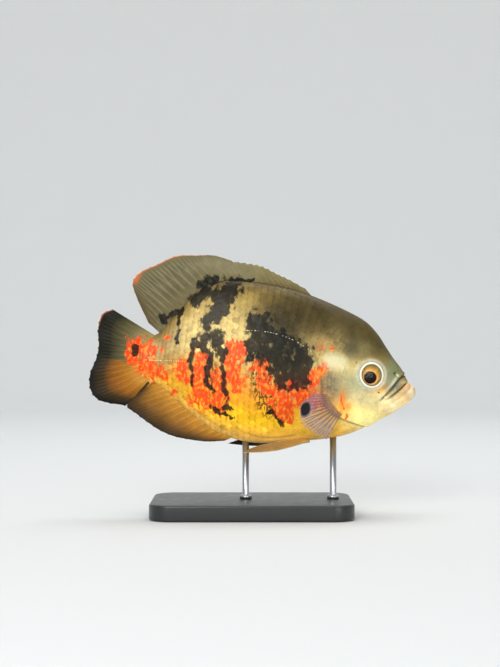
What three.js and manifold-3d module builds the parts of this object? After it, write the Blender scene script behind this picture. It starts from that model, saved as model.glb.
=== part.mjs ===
// A life-size still model of an oscar fish, swimming level with its nose a little low,
// held over a flat display base by two short rods.
// Millimetres, +Z up, the fish heads towards +X. The fish is modelled level in its own
// frame, whose X axis runs from the middle of the tail stalk to the mouth, and then pitched.

import * as THREE from 'three';
import { ParametricGeometry } from 'three/addons/geometries/ParametricGeometry.js';
import { mergeVertices } from 'three/addons/utils/BufferGeometryUtils.js';
import Module from 'manifold-3d';

const wasm = await Module();
wasm.setup();

// Driving dimensions
const NOSE_DOWN_DEG = 6;
const AXIS_HEIGHT = 109.6; // fish's own origin above the floor
const FISH_X = -0.1; // shift that centres the whole model over its base
const GAP = 0.3; // between pieces that touch
const BODY_ROWS = 44; // steps from mouth to tail
const BODY_COLUMNS = 36; // steps round the body
const SIDE_REACH = 60; // further out than any point of the fish

// The body, from the mouth to the tail edge. Each station is a loop through a point on the top
// midline, a point on the bottom midline, and the widest point of each side.
const STATIONS = [
  { at: 'mouth line', top: [115.2, 0.4], bottom: [115.2, 0.4], side: [99, -13], half: 10 },
  { at: 'inner lips', top: [116.1, 1.5], bottom: [119.2, 0.8], side: [98.4, -13], half: 10.8 },
  { at: 'lip crests', top: [116.4, 3.4], bottom: [123.2, -2.4], side: [97.4, -12.9], half: 11.8 },
  { at: 'lip bases', top: [115.2, 6.2], bottom: [123.8, -7.6], side: [95.6, -12.6], half: 12.8 },
  { at: 'snout', top: [111.2, 12.2], bottom: [119.5, -13], side: [91.5, -11], half: 14.2 },
  { at: 'nostrils', top: [105.4, 18.6], bottom: [110.5, -20.5], side: [85.5, -8.5], half: 16 },
  { at: 'eye fronts', top: [98.8, 26.4], bottom: [101, -27.3], side: [78, -5.5], half: 18 },
  { at: 'eyes', top: [91, 36], bottom: [90, -34.2], side: [69.5, -2.5], half: 19.8 },
  { at: 'forehead', top: [81, 44.2], bottom: [79, -40.3], side: [60.5, 0], half: 21.2 },
  { at: 'cheeks', top: [67, 50.3], bottom: [66.5, -45], side: [50, 1], half: 22 },
  { at: 'nape', top: [46, 57.2], bottom: [49, -48.9], side: [37.5, 1.5], half: 22.2 },
  { at: 'shoulder', top: [22, 63], bottom: [24, -53.6], side: [18, 1.5], half: 21.2 },
  { at: 'middle', top: [-4, 65.2], bottom: [0, -54.8], side: [-4, 1.5], half: 18.8 },
  { at: 'rear back', top: [-28, 63.6], bottom: [-22, -49.4], side: [-26, 1], half: 15.4 },
  { at: 'anal fin', top: [-46, 54], bottom: [-42, -37.8], side: [-46, 0.5], half: 11.4 },
  { at: 'stalk front', top: [-58.5, 38], bottom: [-57.5, -26.6], side: [-60, 0], half: 8.2 },
  { at: 'stalk', top: [-68.5, 22.5], bottom: [-66.5, -19.8], side: [-71, -0.4], half: 5.6 },
  { at: 'tail edge', top: [-75, 17.2], bottom: [-72.8, -18.6], side: [-83.5, -0.7], half: 2 },
];
const LAST = STATIONS.length - 1;
const FACE_STATIONS = 5; // over these the loops change from the mouth's bowed line to upright ovals

// Side-view curves, [x, z], along which the body is parted
const MOUTH_CUT_END = [[117.2, 1.15], [124, 4.5]];
const LIP_FOLD = [[96.4, -13.5], [100.5, -9.6], [105.5, -3.8], [111, 4.2], [122, 11]];
const JAW_HINGE = [[96.4, -13.5], [93.6, -22], [93, -48]];
const GILL_EDGE = [
  [62, 80], [56, 53], [47.5, 35], [43.4, 19.5], [47, 13], [51, 4], [53.2, -6], [54.6, -14],
  [58, -21], [64, -26.2], [72, -29.8], [82, -32.4], [93.3, -34.4], [104, -40],
];
const STALK_CUT = [[-57, 60], [-59, 10], [-58, -50]];
const COVER_FRONT = [[40, 25], [50, 24], [60, 17], [65.5, 5], [68, -8], [71, -19], [77, -32], [84, -44]];
const COVER_BEHIND = [[84, -60], [20, -60], [20, 25]];
const COVER_DEPTH = 3.6; // thickness of a gill cover

// Eyes and nostrils
const EYE = { x: 89.6, z: 4.8, radius: 9.9, halfDepth: 5.6, bulge: 2.9 };
const EYE_STEPS = { around: 18, over: 10 };
const NOSTRIL = { x: 106.6, z: 7.8, radius: 1.1, depth: 1.6 };

// Fins. A midline fin's roots run along the body's edge, at these x, and its tips are [x, z].
const SPINY_DORSAL = {
  rootX: [38.5, 30, 20.5, 10, -1, -13],
  tips: [[33.5, 64], [20.1, 69.9], [9.9, 73.4], [-0.4, 77.4], [-11, 78.4], [-23, 78.8]],
  rays: 13, rows: 3, notch: 0.13, thick: [0.85, 0.36], membrane: 0.28, sway: 0.5,
};
const SOFT_DORSAL = {
  rootX: [-13.8, -22.5, -32, -41.4, -50.2, -56.8, -62.7, -67.9, -71.5],
  tips: [
    [-24, 79], [-37, 81.5], [-50.4, 80.2], [-65.3, 78.1], [-78.1, 70.8],
    [-90.2, 63.7], [-95.6, 55], [-91, 43.5], [-80.5, 26],
  ],
  rays: 19, rows: 4, notch: 0.012, thick: [0.9, 0.33], membrane: 0.27, sway: -1.6,
};
const ANAL = {
  rootX: [-9.6, -17, -24.8, -32.8, -41, -48.3, -54.9, -60.5, -65, -68.4],
  tips: [
    [-14.6, -55.9], [-27.6, -57.9], [-40.5, -57.8], [-52.6, -56.6], [-63.5, -53.4],
    [-73.5, -48.2], [-82.7, -42.9], [-89.6, -38.4], [-84, -30.6], [-74.5, -20.6],
  ],
  rays: 17, rows: 4, notch: 0.02, thick: [0.9, 0.33], membrane: 0.27, sway: -2.2,
};
const TAIL = {
  roots: [
    [-75.6, 17.6], [-80.2, 13.6], [-82.6, 9], [-83.7, 4.2], [-84, -0.7], [-83.6, -5.6],
    [-82.2, -10.2], [-79.2, -14.8], [-73.6, -18.8],
  ],
  tips: [
    [-108.9, 33.6], [-116.4, 29], [-118.4, 17.5], [-116.6, 5.5], [-117.6, -5], [-120.9, -17],
    [-119.4, -28.6], [-111, -36.2], [-91.5, -37.9],
  ],
  rays: 16, rows: 5, notch: 0.02, thick: [1.35, 0.33], membrane: 0.27, rootMembrane: 0.95, sway: 1.7,
};
const PECTORAL = {
  roots: [[56.5, -13.5], [60, -18.5], [64.5, -23], [69, -26.5]],
  spread: [[47.5, -11.8], [40.6, -17.5], [37.8, -25], [41, -34], [49.5, -41.5], [60, -45]],
  flare: [15, 24, 29, 30, 26, 18], // how far each tip stands out from its root
  sink: 5, rays: 11, rows: 4, notch: 0.03, thick: [0.75, 0.32], membrane: 0.27,
};
const PELVIC = {
  roots: [[45.5, -50.2], [41.5, -49.3], [37.5, -48.2]],
  spread: [[-1.6, -62.8], [2.4, -60.6], [11, -56.6]],
  rootY: [7.6, 6.4, 5.4],
  tipY: [8.6, 7.2, 6.2],
  sink: 5, rays: 6, rows: 5, notch: 0.015, thick: [0.85, 0.34], membrane: 0.28,
};
const RAY_SHARE = 0.3; // how far a ray's ridge reaches towards the next one

// Stand
const BASE = { length: 150, width: 100, thick: 12, corner: 16, edge: 1.5 };
const ROD = { radius: 2.5, sides: 12, rearX: -4.5, frontX: 61, foot: 9, footHigh: 3 };

const MATERIALS = {
  back: { color: '#6b5c38', roughness: 0.42 },
  flank: { color: '#c98a3a', roughness: 0.42 },
  stalk: { color: '#b98345', roughness: 0.42 },
  cheek: { color: '#a9a27a', roughness: 0.4 },
  lip: { color: '#cdb487', roughness: 0.4 },
  jaw: { color: '#e2cf86', roughness: 0.4 },
  eye: { color: '#c99a45', roughness: 0.08 },
  dorsal: { color: '#85795a', roughness: 0.5 },
  amberFin: { color: '#94652a', roughness: 0.5 },
  tailFin: { color: '#5e4d28', roughness: 0.5 },
  clearFin: { color: '#a58f7c', roughness: 0.45 },
  base: { color: '#26282b', roughness: 0.35 },
  rod: { color: '#b9bcc0', roughness: 0.3, metalness: 1 },
};

// Curve and body functions

function curveThrough(points) {
  const curve = new THREE.CatmullRomCurve3(
    points.map(([a, b, c = 0]) => new THREE.Vector3(a, b, c)), false, 'catmullrom', 0.5);
  return (t) => curve.getPoint(Math.min(Math.max(t, 0), 1));
}

const topLine = curveThrough(STATIONS.map((s) => s.top));
const bottomLine = curveThrough(STATIONS.map((s) => s.bottom));
const sideLine = curveThrough(STATIONS.map((s) => [...s.side, s.half]));

// A midline moved outwards by `grow`, at t from the mouth (0) to the tail edge (1)
function midline(line, t, grow, outward) {
  const p = line(t);
  const step = 1e-3;
  const along = line(t + step).sub(line(t - step)).normalize();
  return [p.x - outward * along.y * grow, p.y + outward * along.x * grow];
}

// Point of the body at t from mouth to tail, and at an angle round the loop: 0 is the left
// side, 90 degrees the top, 180 the right side and 270 the bottom.
function bodyPoint(t, angle, grow, target = new THREE.Vector3()) {
  const up = Math.sin(angle);
  const [endX, endZ] = up >= 0 ? midline(topLine, t, grow, -1) : midline(bottomLine, t, grow, 1);
  const side = sideLine(t);
  const face = Math.min((t * LAST) / FACE_STATIONS, 1);
  const share = Math.abs(up) < 1e-9 ? 0 : Math.abs(up);
  const x = side.x + (endX - side.x) * share ** (1 + face);
  const z = side.y + (endZ - side.y) * share ** (1.5 - 0.58 * face);
  return target.set(x, (side.z + grow) * Math.cos(angle), z);
}

// Where a midline has this x, moved outwards by `grow`
function onEdge(line, outward, x, grow) {
  let near = 0.2;
  let far = 1;
  for (let i = 0; i < 40; i++) {
    const t = (near + far) / 2;
    if (midline(line, t, grow, outward)[0] > x) near = t;
    else far = t;
  }
  return midline(line, near, grow, outward);
}

// The place on the left side of the body that shows at [x, z] from the side, with its normal
function onSide(x, z) {
  let best = { t: 0.4, angle: 0, miss: Infinity };
  for (let reach = 1, from = best; reach > 1e-4; reach /= 4, from = best) {
    for (let i = -8; i <= 8; i++) {
      for (let j = -8; j <= 8; j++) {
        const t = Math.min(Math.max(from.t + (i / 8) * 0.4 * reach, 0.02), 0.98);
        const angle = Math.min(Math.max(from.angle + (j / 8) * 1.5 * reach, -1.5), 1.5);
        const p = bodyPoint(t, angle, 0);
        const miss = Math.hypot(p.x - x, p.z - z);
        if (miss < best.miss) best = { t, angle, miss, point: p };
      }
    }
  }
  const step = 2e-3;
  const along = bodyPoint(best.t + step, best.angle, 0).sub(bodyPoint(best.t - step, best.angle, 0));
  const round = bodyPoint(best.t, best.angle + step, 0).sub(bodyPoint(best.t, best.angle - step, 0));
  const normal = along.cross(round).normalize();
  if (normal.y < 0) normal.negate();
  return { point: best.point, normal };
}

// Solids

function solidOf(geometry) {
  const bare = geometry.index ? geometry.toNonIndexed() : geometry.clone();
  bare.deleteAttribute('normal');
  bare.deleteAttribute('uv');
  const merged = mergeVertices(bare, 1e-3);
  const kept = [];
  for (let i = 0; i < merged.index.count; i += 3) {
    const [a, b, c] = [0, 1, 2].map((k) => merged.index.getX(i + k));
    if (a !== b && b !== c && c !== a) kept.push(a, b, c);
  }
  const make = (triangles) => new wasm.Manifold(new wasm.Mesh({
    numProp: 3,
    vertProperties: new Float32Array(merged.attributes.position.array),
    triVerts: new Uint32Array(triangles),
  }));
  const solid = make(kept);
  return solid.volume() > 0 ? solid : make(kept.reverse());
}

function geometryOf(solid) {
  const { vertProperties, triVerts, numProp, numVert } = solid.getMesh();
  const position = new Float32Array(numVert * 3);
  for (let i = 0; i < numVert; i++) position.set(vertProperties.subarray(i * numProp, i * numProp + 3), i * 3);
  const geometry = new THREE.BufferGeometry()
    .setAttribute('position', new THREE.BufferAttribute(position, 3))
    .setIndex(new THREE.BufferAttribute(new Uint32Array(triVerts), 1));
  geometry.computeVertexNormals();
  return geometry;
}

function largest(solid) {
  return solid.decompose().reduce((a, b) => (b.volume() > a.volume() ? b : a));
}

// The whole body as one solid. The first row folds shut along the mouth line, and the last row
// closes the tail edge on the midplane.
function bodySolid(grow) {
  const rows = BODY_ROWS + 1;
  const half = BODY_COLUMNS / 2;
  const place = (u, v, target) => {
    const row = Math.round(v * rows);
    let column = Math.round(u * BODY_COLUMNS) % BODY_COLUMNS;
    if (row === 0 && column > half) column = BODY_COLUMNS - column;
    if (row === rows && column > half / 2 && column < half * 1.5) {
      column = (BODY_COLUMNS + half - column) % BODY_COLUMNS;
    }
    bodyPoint(Math.min(row / BODY_ROWS, 1), (column / half) * Math.PI, grow, target);
    if (row === rows) target.y = 0;
    return target;
  };
  return solidOf(new ParametricGeometry(place, BODY_COLUMNS, rows));
}

// A prism that crosses the whole fish from side to side, from an outline in the side view
function prism(outline) {
  const shape = new THREE.Shape(outline.map(([x, z]) => new THREE.Vector2(x, z)));
  const geometry = new THREE.ExtrudeGeometry(shape, { depth: 2 * SIDE_REACH, bevelEnabled: false });
  return solidOf(geometry.rotateX(Math.PI / 2).translate(0, SIDE_REACH, 0));
}

// A thin wall along a side-view curve, which parts the body where it passes
function wall(points, steps = 14) {
  const at = curveThrough(points);
  const left = [];
  const right = [];
  for (let i = 0; i <= steps; i++) {
    const p = at(i / steps);
    const along = at((i + 0.1) / steps).sub(at((i - 0.1) / steps)).normalize();
    left.push([p.x - (along.y * GAP) / 2, p.y + (along.x * GAP) / 2]);
    right.unshift([p.x + (along.y * GAP) / 2, p.y - (along.x * GAP) / 2]);
  }
  return prism([...left, ...right]);
}

function mouthWall() {
  const line = [];
  for (let i = 0; i <= 8; i++) {
    const p = bodyPoint(0, (i / 8) * (Math.PI / 2), 0);
    line.push([p.x, p.z]);
  }
  return wall([JAW_HINGE[0], ...line, ...MOUTH_CUT_END], 24);
}

// A gill cover's outline in the side view, moved outwards by `grow`
function coverOutline(grow) {
  const front = curveThrough(COVER_FRONT);
  const points = [];
  for (let i = 0; i <= 16; i++) {
    const p = front(i / 16);
    const along = front((i + 0.1) / 16).sub(front((i - 0.1) / 16)).normalize();
    points.push([p.x - along.y * grow, p.y + along.x * grow]);
  }
  return [...points, ...COVER_BEHIND].reverse();
}

function eyeSolid(side, grow) {
  const { point, normal } = onSide(EYE.x, EYE.z);
  const ball = new THREE.SphereGeometry(1, EYE_STEPS.around, EYE_STEPS.over);
  ball.scale(EYE.radius + grow, EYE.halfDepth + grow, EYE.radius + grow);
  ball.applyQuaternion(new THREE.Quaternion().setFromUnitVectors(new THREE.Vector3(0, 1, 0), normal));
  const centre = point.clone().addScaledVector(normal, EYE.bulge - EYE.halfDepth);
  ball.translate(centre.x, centre.y, centre.z);
  const left = solidOf(ball);
  return side > 0 ? left : left.mirror([0, 1, 0]);
}

function nostrilPit(side) {
  const { point, normal } = onSide(NOSTRIL.x, NOSTRIL.z);
  const pit = new THREE.CylinderGeometry(NOSTRIL.radius, NOSTRIL.radius * 0.5, 2 * NOSTRIL.depth, 8);
  pit.applyQuaternion(new THREE.Quaternion().setFromUnitVectors(new THREE.Vector3(0, 1, 0), normal));
  const left = solidOf(pit.translate(point.x, point.y, point.z));
  return side > 0 ? left : left.mirror([0, 1, 0]);
}

// Fins

// A closed plate with two faces, each a grid of points, split into triangles alike
function plateSolid(front, back) {
  const rows = front.length;
  const columns = front[0].length;
  const position = [];
  for (const p of [...front.flat(), ...back.flat()]) position.push(p.x, p.y, p.z);
  const f = (i, j) => i * columns + j;
  const b = (i, j) => rows * columns + i * columns + j;
  const index = [];
  const quad = (p, q, r, s) => index.push(p, q, r, p, r, s);
  for (let i = 0; i + 1 < rows; i++) {
    for (let j = 0; j + 1 < columns; j++) {
      quad(f(i, j), f(i, j + 1), f(i + 1, j + 1), f(i + 1, j));
      quad(b(i + 1, j + 1), b(i, j + 1), b(i, j), b(i + 1, j));
    }
  }
  for (let j = 0; j + 1 < columns; j++) {
    quad(f(0, j), b(0, j), b(0, j + 1), f(0, j + 1));
    quad(f(rows - 1, j), f(rows - 1, j + 1), b(rows - 1, j + 1), b(rows - 1, j));
  }
  for (let i = 0; i + 1 < rows; i++) {
    quad(f(i, 0), f(i + 1, 0), b(i + 1, 0), b(i, 0));
    quad(f(i, columns - 1), b(i, columns - 1), b(i + 1, columns - 1), f(i + 1, columns - 1));
  }
  const geometry = new THREE.BufferGeometry()
    .setAttribute('position', new THREE.Float32BufferAttribute(position, 3))
    .setIndex(index);
  return solidOf(geometry);
}

// A fin: rays from rootAt(s) to tipAt(s), s from 0 to 1 along the fin, as ridges on a membrane.
// `normal` is the direction through the fin.
function finSolid(fin, rootAt, tipAt, normal) {
  const pitch = 1 / (fin.rays - 1);
  const columns = [];
  for (let i = 0; i < fin.rays; i++) {
    if (i > 0) columns.push({ s: (i - RAY_SHARE) * pitch, ray: 0 });
    columns.push({ s: i * pitch, ray: 1 });
    if (i < fin.rays - 1) columns.push({ s: (i + RAY_SHARE) * pitch, ray: 0 });
  }
  const [thickRoot, thickTip] = fin.thick;
  const rootMembrane = fin.rootMembrane ?? fin.membrane;
  const front = [];
  const back = [];
  for (let i = 0; i <= fin.rows; i++) {
    const along = i / fin.rows;
    const middle = columns.map(({ s, ray }) => {
      const reach = along * (ray ? 1 : 1 - fin.notch);
      const p = rootAt(s).lerp(tipAt(s), reach);
      return p.addScaledVector(normal, (fin.sway ?? 0) * along * along * (1 - Math.cos(2 * Math.PI * s) * 0.4));
    });
    const thick = columns.map(({ ray }) => (ray
      ? THREE.MathUtils.lerp(thickRoot, thickTip, along)
      : THREE.MathUtils.lerp(rootMembrane, fin.membrane, Math.min(along * 2.5, 1))));
    front.push(middle.map((p, j) => p.clone().addScaledVector(normal, thick[j])));
    back.push(middle.map((p, j) => p.clone().addScaledVector(normal, -thick[j])));
  }
  return plateSolid(front, back);
}

const ACROSS = new THREE.Vector3(0, 1, 0);
const flat = ([x, z], y = 0) => new THREE.Vector3(x, y, z);

function edgeFin(fin, line, outward) {
  const rootX = curveThrough(fin.rootX.map((x) => [x, 0]));
  const tips = curveThrough(fin.tips);
  return finSolid(
    fin,
    (s) => flat(onEdge(line, outward, rootX(s).x, GAP)),
    (s) => flat([tips(s).x, tips(s).y]),
    ACROSS,
  );
}

function tailFin() {
  const roots = curveThrough(TAIL.roots);
  const tips = curveThrough(TAIL.tips);
  return finSolid(
    TAIL,
    (s) => flat([roots(s).x - GAP, roots(s).y]),
    (s) => flat([tips(s).x, tips(s).y]),
    ACROSS,
  );
}

// A paired fin, from roots [x, y, z] on the left side to tips [x, y, z]. It starts inside the
// body, and what lies there is cut away.
function pairedFin(fin, roots, tips, side, grown) {
  const rootAt = curveThrough(roots);
  const tipAt = curveThrough(tips);
  const place = (p) => new THREE.Vector3(p.x, p.y * side, p.z);
  const across = place(rootAt(1).sub(rootAt(0)));
  const outwards = place(tipAt(0.5).sub(rootAt(0.5)));
  const normal = across.cross(outwards).normalize();
  const solid = finSolid(fin, (s) => place(rootAt(s)), (s) => place(tipAt(s)), normal);
  return largest(solid.subtract(grown));
}

function pectoralFin(side, grown) {
  const skin = PECTORAL.roots.map(([x, z]) => onSide(x, z).point);
  const roots = skin.map((p) => [p.x + PECTORAL.sink * 0.5, p.y - PECTORAL.sink, p.z]);
  const reach = skin[1].y;
  const tips = PECTORAL.spread.map(([x, z], i) => [x, reach + PECTORAL.flare[i], z]);
  return pairedFin(PECTORAL, roots, tips, side, grown);
}

function pelvicFin(side, grown) {
  const roots = PELVIC.roots.map(([x, z], i) => [x + PELVIC.sink * 0.6, PELVIC.rootY[i], z + PELVIC.sink]);
  const tips = PELVIC.spread.map(([x, z], i) => [x, PELVIC.tipY[i], z]);
  return pairedFin(PELVIC, roots, tips, side, grown);
}

// Stand, in the row's own frame

function standBase() {
  const { length, width, thick, corner, edge } = BASE;
  const x = length / 2 - edge;
  const y = width / 2 - edge;
  const shape = new THREE.Shape();
  shape.moveTo(-x + corner, -y);
  shape.lineTo(x - corner, -y).absarc(x - corner, -y + corner, corner, -Math.PI / 2, 0);
  shape.lineTo(x, y - corner).absarc(x - corner, y - corner, corner, 0, Math.PI / 2);
  shape.lineTo(-x + corner, y).absarc(-x + corner, y - corner, corner, Math.PI / 2, Math.PI);
  shape.lineTo(-x, -y + corner).absarc(-x + corner, -y + corner, corner, Math.PI, 1.5 * Math.PI);
  const plate = new THREE.ExtrudeGeometry(shape, {
    depth: thick - 2 * edge, bevelEnabled: true, bevelSize: edge, bevelThickness: edge,
    bevelSegments: 1, curveSegments: 4,
  });
  return solidOf(plate.translate(0, 0, edge));
}

function standRod(x, grownInPlace) {
  const top = AXIS_HEIGHT;
  const bottom = BASE.thick + GAP;
  const profile = [
    [0, bottom], [ROD.foot / 2, bottom], [ROD.foot / 2, bottom + ROD.footHigh - 1],
    [ROD.foot / 2 - 1, bottom + ROD.footHigh], [ROD.radius, bottom + ROD.footHigh], [ROD.radius, top], [0, top],
  ].map(([r, z]) => new THREE.Vector2(r, z));
  const rod = new THREE.LatheGeometry(profile, ROD.sides).rotateX(Math.PI / 2).translate(x, 0, 0);
  const cut = solidOf(rod).subtract(grownInPlace);
  return cut.decompose().reduce((a, b) => (b.boundingBox().min[2] < a.boundingBox().min[2] ? b : a));
}

// Assembly

const whole = bodySolid(0);
const grown = bodySolid(GAP);
const core = bodySolid(-COVER_DEPTH);
const coreCleared = bodySolid(-COVER_DEPTH - GAP);

// The piece of a parted body that holds this side-view point
function pieceAt(pieces, x, z, side = 0) {
  const near = (piece) => {
    const { min, max } = piece.boundingBox();
    return Math.hypot((min[0] + max[0]) / 2 - x, (min[2] + max[2]) / 2 - z, ((min[1] + max[1]) / 2 - side));
  };
  return pieces.reduce((a, b) => (near(b) < near(a) ? b : a));
}

const parted = whole.subtract(wall(GILL_EDGE, 30)).subtract(wall(STALK_CUT, 6)).decompose();
const sorted = parted.filter((p) => p.volume() > 100).sort((a, b) => a.boundingBox().min[0] - b.boundingBox().min[0]);
const [stalk, torso, headWhole] = sorted;

const covers = headWhole.intersect(prism(coverOutline(0))).subtract(core).decompose();
const bareHead = headWhole.subtract(prism(coverOutline(GAP)).subtract(coreCleared));
const faces = bareHead.subtract(mouthWall()).subtract(wall(LIP_FOLD)).subtract(wall(JAW_HINGE, 6)).decompose();
const upperJaw = pieceAt(faces, 107, -3);
const lowerJaw = pieceAt(faces, 108, -17);
let head = pieceAt(faces, 78, 10);
for (const side of [1, -1]) head = head.subtract(eyeSolid(side, GAP)).subtract(nostrilPit(side));
head = largest(head);

const fish = new THREE.Group();
fish.name = 'fish';
fish.rotation.y = THREE.MathUtils.degToRad(NOSE_DOWN_DEG);
fish.position.set(FISH_X, 0, AXIS_HEIGHT);
fish.updateMatrixWorld(true);

const stand = new THREE.Group();
stand.name = 'stand';

function add(group, name, solid, material) {
  const mesh = new THREE.Mesh(geometryOf(solid), new THREE.MeshStandardMaterial(material));
  mesh.name = name;
  group.add(mesh);
}

const BOTH = [['left', 1], ['right', -1]];
add(fish, 'head', head, MATERIALS.back);
add(fish, 'upper_jaw', upperJaw, MATERIALS.lip);
add(fish, 'lower_jaw', lowerJaw, MATERIALS.jaw);
add(fish, 'torso', torso, MATERIALS.flank);
add(fish, 'tail_stalk', stalk, MATERIALS.stalk);
for (const [word, side] of BOTH) {
  add(fish, `gill_cover_${word}`, pieceAt(covers, 56, -4, side * 18), MATERIALS.cheek);
  add(fish, `eye_${word}`, eyeSolid(side, 0), MATERIALS.eye);
  add(fish, `pectoral_fin_${word}`, pectoralFin(side, grown), MATERIALS.clearFin);
  add(fish, `pelvic_fin_${word}`, pelvicFin(side, grown), MATERIALS.amberFin);
}
add(fish, 'dorsal_fin_spiny', edgeFin(SPINY_DORSAL, topLine, -1), MATERIALS.dorsal);
add(fish, 'dorsal_fin_soft', edgeFin(SOFT_DORSAL, topLine, -1), MATERIALS.dorsal);
add(fish, 'anal_fin', edgeFin(ANAL, bottomLine, 1), MATERIALS.amberFin);
add(fish, 'tail_fin', tailFin(), MATERIALS.tailFin);

const grownInPlace = grown.transform(fish.matrixWorld.toArray());
add(stand, 'stand_base', standBase(), MATERIALS.base);
add(stand, 'stand_rod_rear', standRod(ROD.rearX, grownInPlace), MATERIALS.rod);
add(stand, 'stand_rod_front', standRod(ROD.frontX, grownInPlace), MATERIALS.rod);

const model = new THREE.Group();
model.add(fish, stand);

export default model;
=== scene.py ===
"""Dresses the solid frame of a life-size oscar fish on its display stand.

The fish swims level with its nose a little low, seen from its right side. One skin covers the
body without seams, scales lie over it as solid plates, and each fin is a membrane with forked
rays. Shapes are worked out in the fish's own frame, in millimetres: +X to the mouth, +Y to the
fish's left, +Z to its back. They are then pitched and put where the frame has them.
"""

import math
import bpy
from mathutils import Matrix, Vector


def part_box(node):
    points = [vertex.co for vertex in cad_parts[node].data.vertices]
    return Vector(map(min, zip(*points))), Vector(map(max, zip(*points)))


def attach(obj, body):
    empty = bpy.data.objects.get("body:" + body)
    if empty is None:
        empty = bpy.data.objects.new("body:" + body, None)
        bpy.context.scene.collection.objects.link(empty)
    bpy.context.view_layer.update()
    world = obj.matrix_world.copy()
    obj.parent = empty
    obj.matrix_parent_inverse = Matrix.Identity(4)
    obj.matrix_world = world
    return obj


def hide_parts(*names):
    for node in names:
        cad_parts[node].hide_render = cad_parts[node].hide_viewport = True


bl_info = {
    "name": "Oscar Fish Model",
    "version": (1, 0, 0),
    "blender": (4, 5, 0),
    "location": "View3D > Sidebar > Oscar Fish",
    "description": "Builds a life-size oscar fish on a display stand around its solid frame",
    "category": "Add Mesh",
}

import bmesh
import bpy
import numpy as np
from bpy.props import FloatProperty, FloatVectorProperty, IntProperty, PointerProperty
from mathutils import Vector

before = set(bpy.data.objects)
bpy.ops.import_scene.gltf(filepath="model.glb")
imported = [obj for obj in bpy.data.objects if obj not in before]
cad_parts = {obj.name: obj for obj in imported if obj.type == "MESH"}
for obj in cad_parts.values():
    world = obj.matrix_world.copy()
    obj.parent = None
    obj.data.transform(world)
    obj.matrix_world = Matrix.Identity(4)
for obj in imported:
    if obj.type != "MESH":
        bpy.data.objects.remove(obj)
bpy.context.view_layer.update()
BODY = "root"

# Place of the fish in the frame
MM = 0.001
NOSE_DOWN = math.radians(6)
AXIS_HEIGHT = 109.6
FISH_X = -0.1

# The body's loops from the mouth to the tail edge: top, bottom and widest points, half width
STATIONS = [
    ("mouth line", (115.2, 0.4), (115.2, 0.4), (99, -13), 10),
    ("inner lips", (116.1, 1.5), (119.2, 0.8), (98.4, -13), 10.8),
    ("lip crests", (116.4, 3.4), (123.2, -2.4), (97.4, -12.9), 11.8),
    ("lip bases", (115.2, 6.2), (123.8, -7.6), (95.6, -12.6), 12.8),
    ("snout", (111.2, 12.2), (119.5, -13), (91.5, -11), 14.2),
    ("nostrils", (105.4, 18.6), (110.5, -20.5), (85.5, -8.5), 16),
    ("eye fronts", (98.8, 26.4), (101, -27.3), (78, -5.5), 18),
    ("eyes", (91, 36), (90, -34.2), (69.5, -2.5), 19.8),
    ("forehead", (81, 44.2), (79, -40.3), (60.5, 0), 21.2),
    ("cheeks", (67, 50.3), (66.5, -45), (50, 1), 22),
    ("nape", (46, 57.2), (49, -48.9), (37.5, 1.5), 22.2),
    ("shoulder", (22, 63), (24, -53.6), (18, 1.5), 21.2),
    ("middle", (-4, 65.2), (0, -54.8), (-4, 1.5), 18.8),
    ("rear back", (-28, 63.6), (-22, -49.4), (-26, 1), 15.4),
    ("anal fin", (-46, 54), (-42, -37.8), (-46, 0.5), 11.4),
    ("stalk front", (-58.5, 38), (-57.5, -26.6), (-60, 0), 8.2),
    ("stalk", (-68.5, 22.5), (-66.5, -19.8), (-71, -0.4), 5.6),
    ("tail edge", (-75, 17.2), (-72.8, -18.6), (-83.5, -0.7), 2),
]
TOPS = [station[1] for station in STATIONS]
BOTTOMS = [station[2] for station in STATIONS]
SIDES = [(*station[3], station[4]) for station in STATIONS]
LAST = len(STATIONS) - 1
FACE_STATIONS = 5

# Side-view lines of the head, (x, z)
LIP_FOLD = [(97.4, -13.4), (100.5, -9.6), (105.5, -3.8), (110.5, 3.6), (115.5, 8)]
GILL_EDGE = [
    (44.5, 24), (43.4, 19.5), (47, 13), (51, 4), (53.2, -6), (54.6, -14), (58, -21), (64, -26.2),
    (72, -29.8), (82, -32.4), (93.3, -34.4), (99, -35.2),
]
PREOPERCLE = [(63.5, 9), (66, 1), (67.5, -6), (70, -15), (74.5, -23), (82, -27.5)]
SUBOPERCLE = [(52.5, -8), (57, -12), (63, -16.5), (69, -20.5)]
KEEL_CREASE = [(-7, -44.5), (0, -48), (12, -50), (26, -49), (37.5, -46)]
CHEEK_PORES = [(98, -5.5), (94.5, -9), (90, -11.5), (84.5, -12), (79.5, -9.5), (76.5, -4.5)]
EYE = {"x": 88.7, "z": 4.8, "radius": 9.9}
PUPIL = {"x": -0.8, "z": -1.9, "radius": 5.0}  # from the eye's middle
NOSTRIL = (106.6, 7.8)
LATERAL_UPPER = [(-8, 28), (1.5, 28.6), (14.5, 28), (30, 24), (43, 17.5)]
LATERAL_LOWER = [(-86, -2), (-69, -1), (-50.5, 0.5)]

# Ridges and grooves that run beside a line or round a point: height, distance from it, half width
LIP_FORMS = [(0.95, 2.1, 1.5), (-0.55, 5.2, 0.8), (0.35, 7.5, 1.6)]
FOLD_FORMS = [(-0.95, 0, 0.65), (0.45, 1.7, 1.2)]
EYE_FORMS = [(0.75, 11.0, 1.3), (-0.3, 13.6, 1.2)]
NOSTRIL_FORMS = [(-1.3, 0, 0.85), (0.45, 1.7, 0.7)]
PORE_FORMS = [(-0.35, 0, 0.55), (0.12, 1.1, 0.5)]

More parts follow.
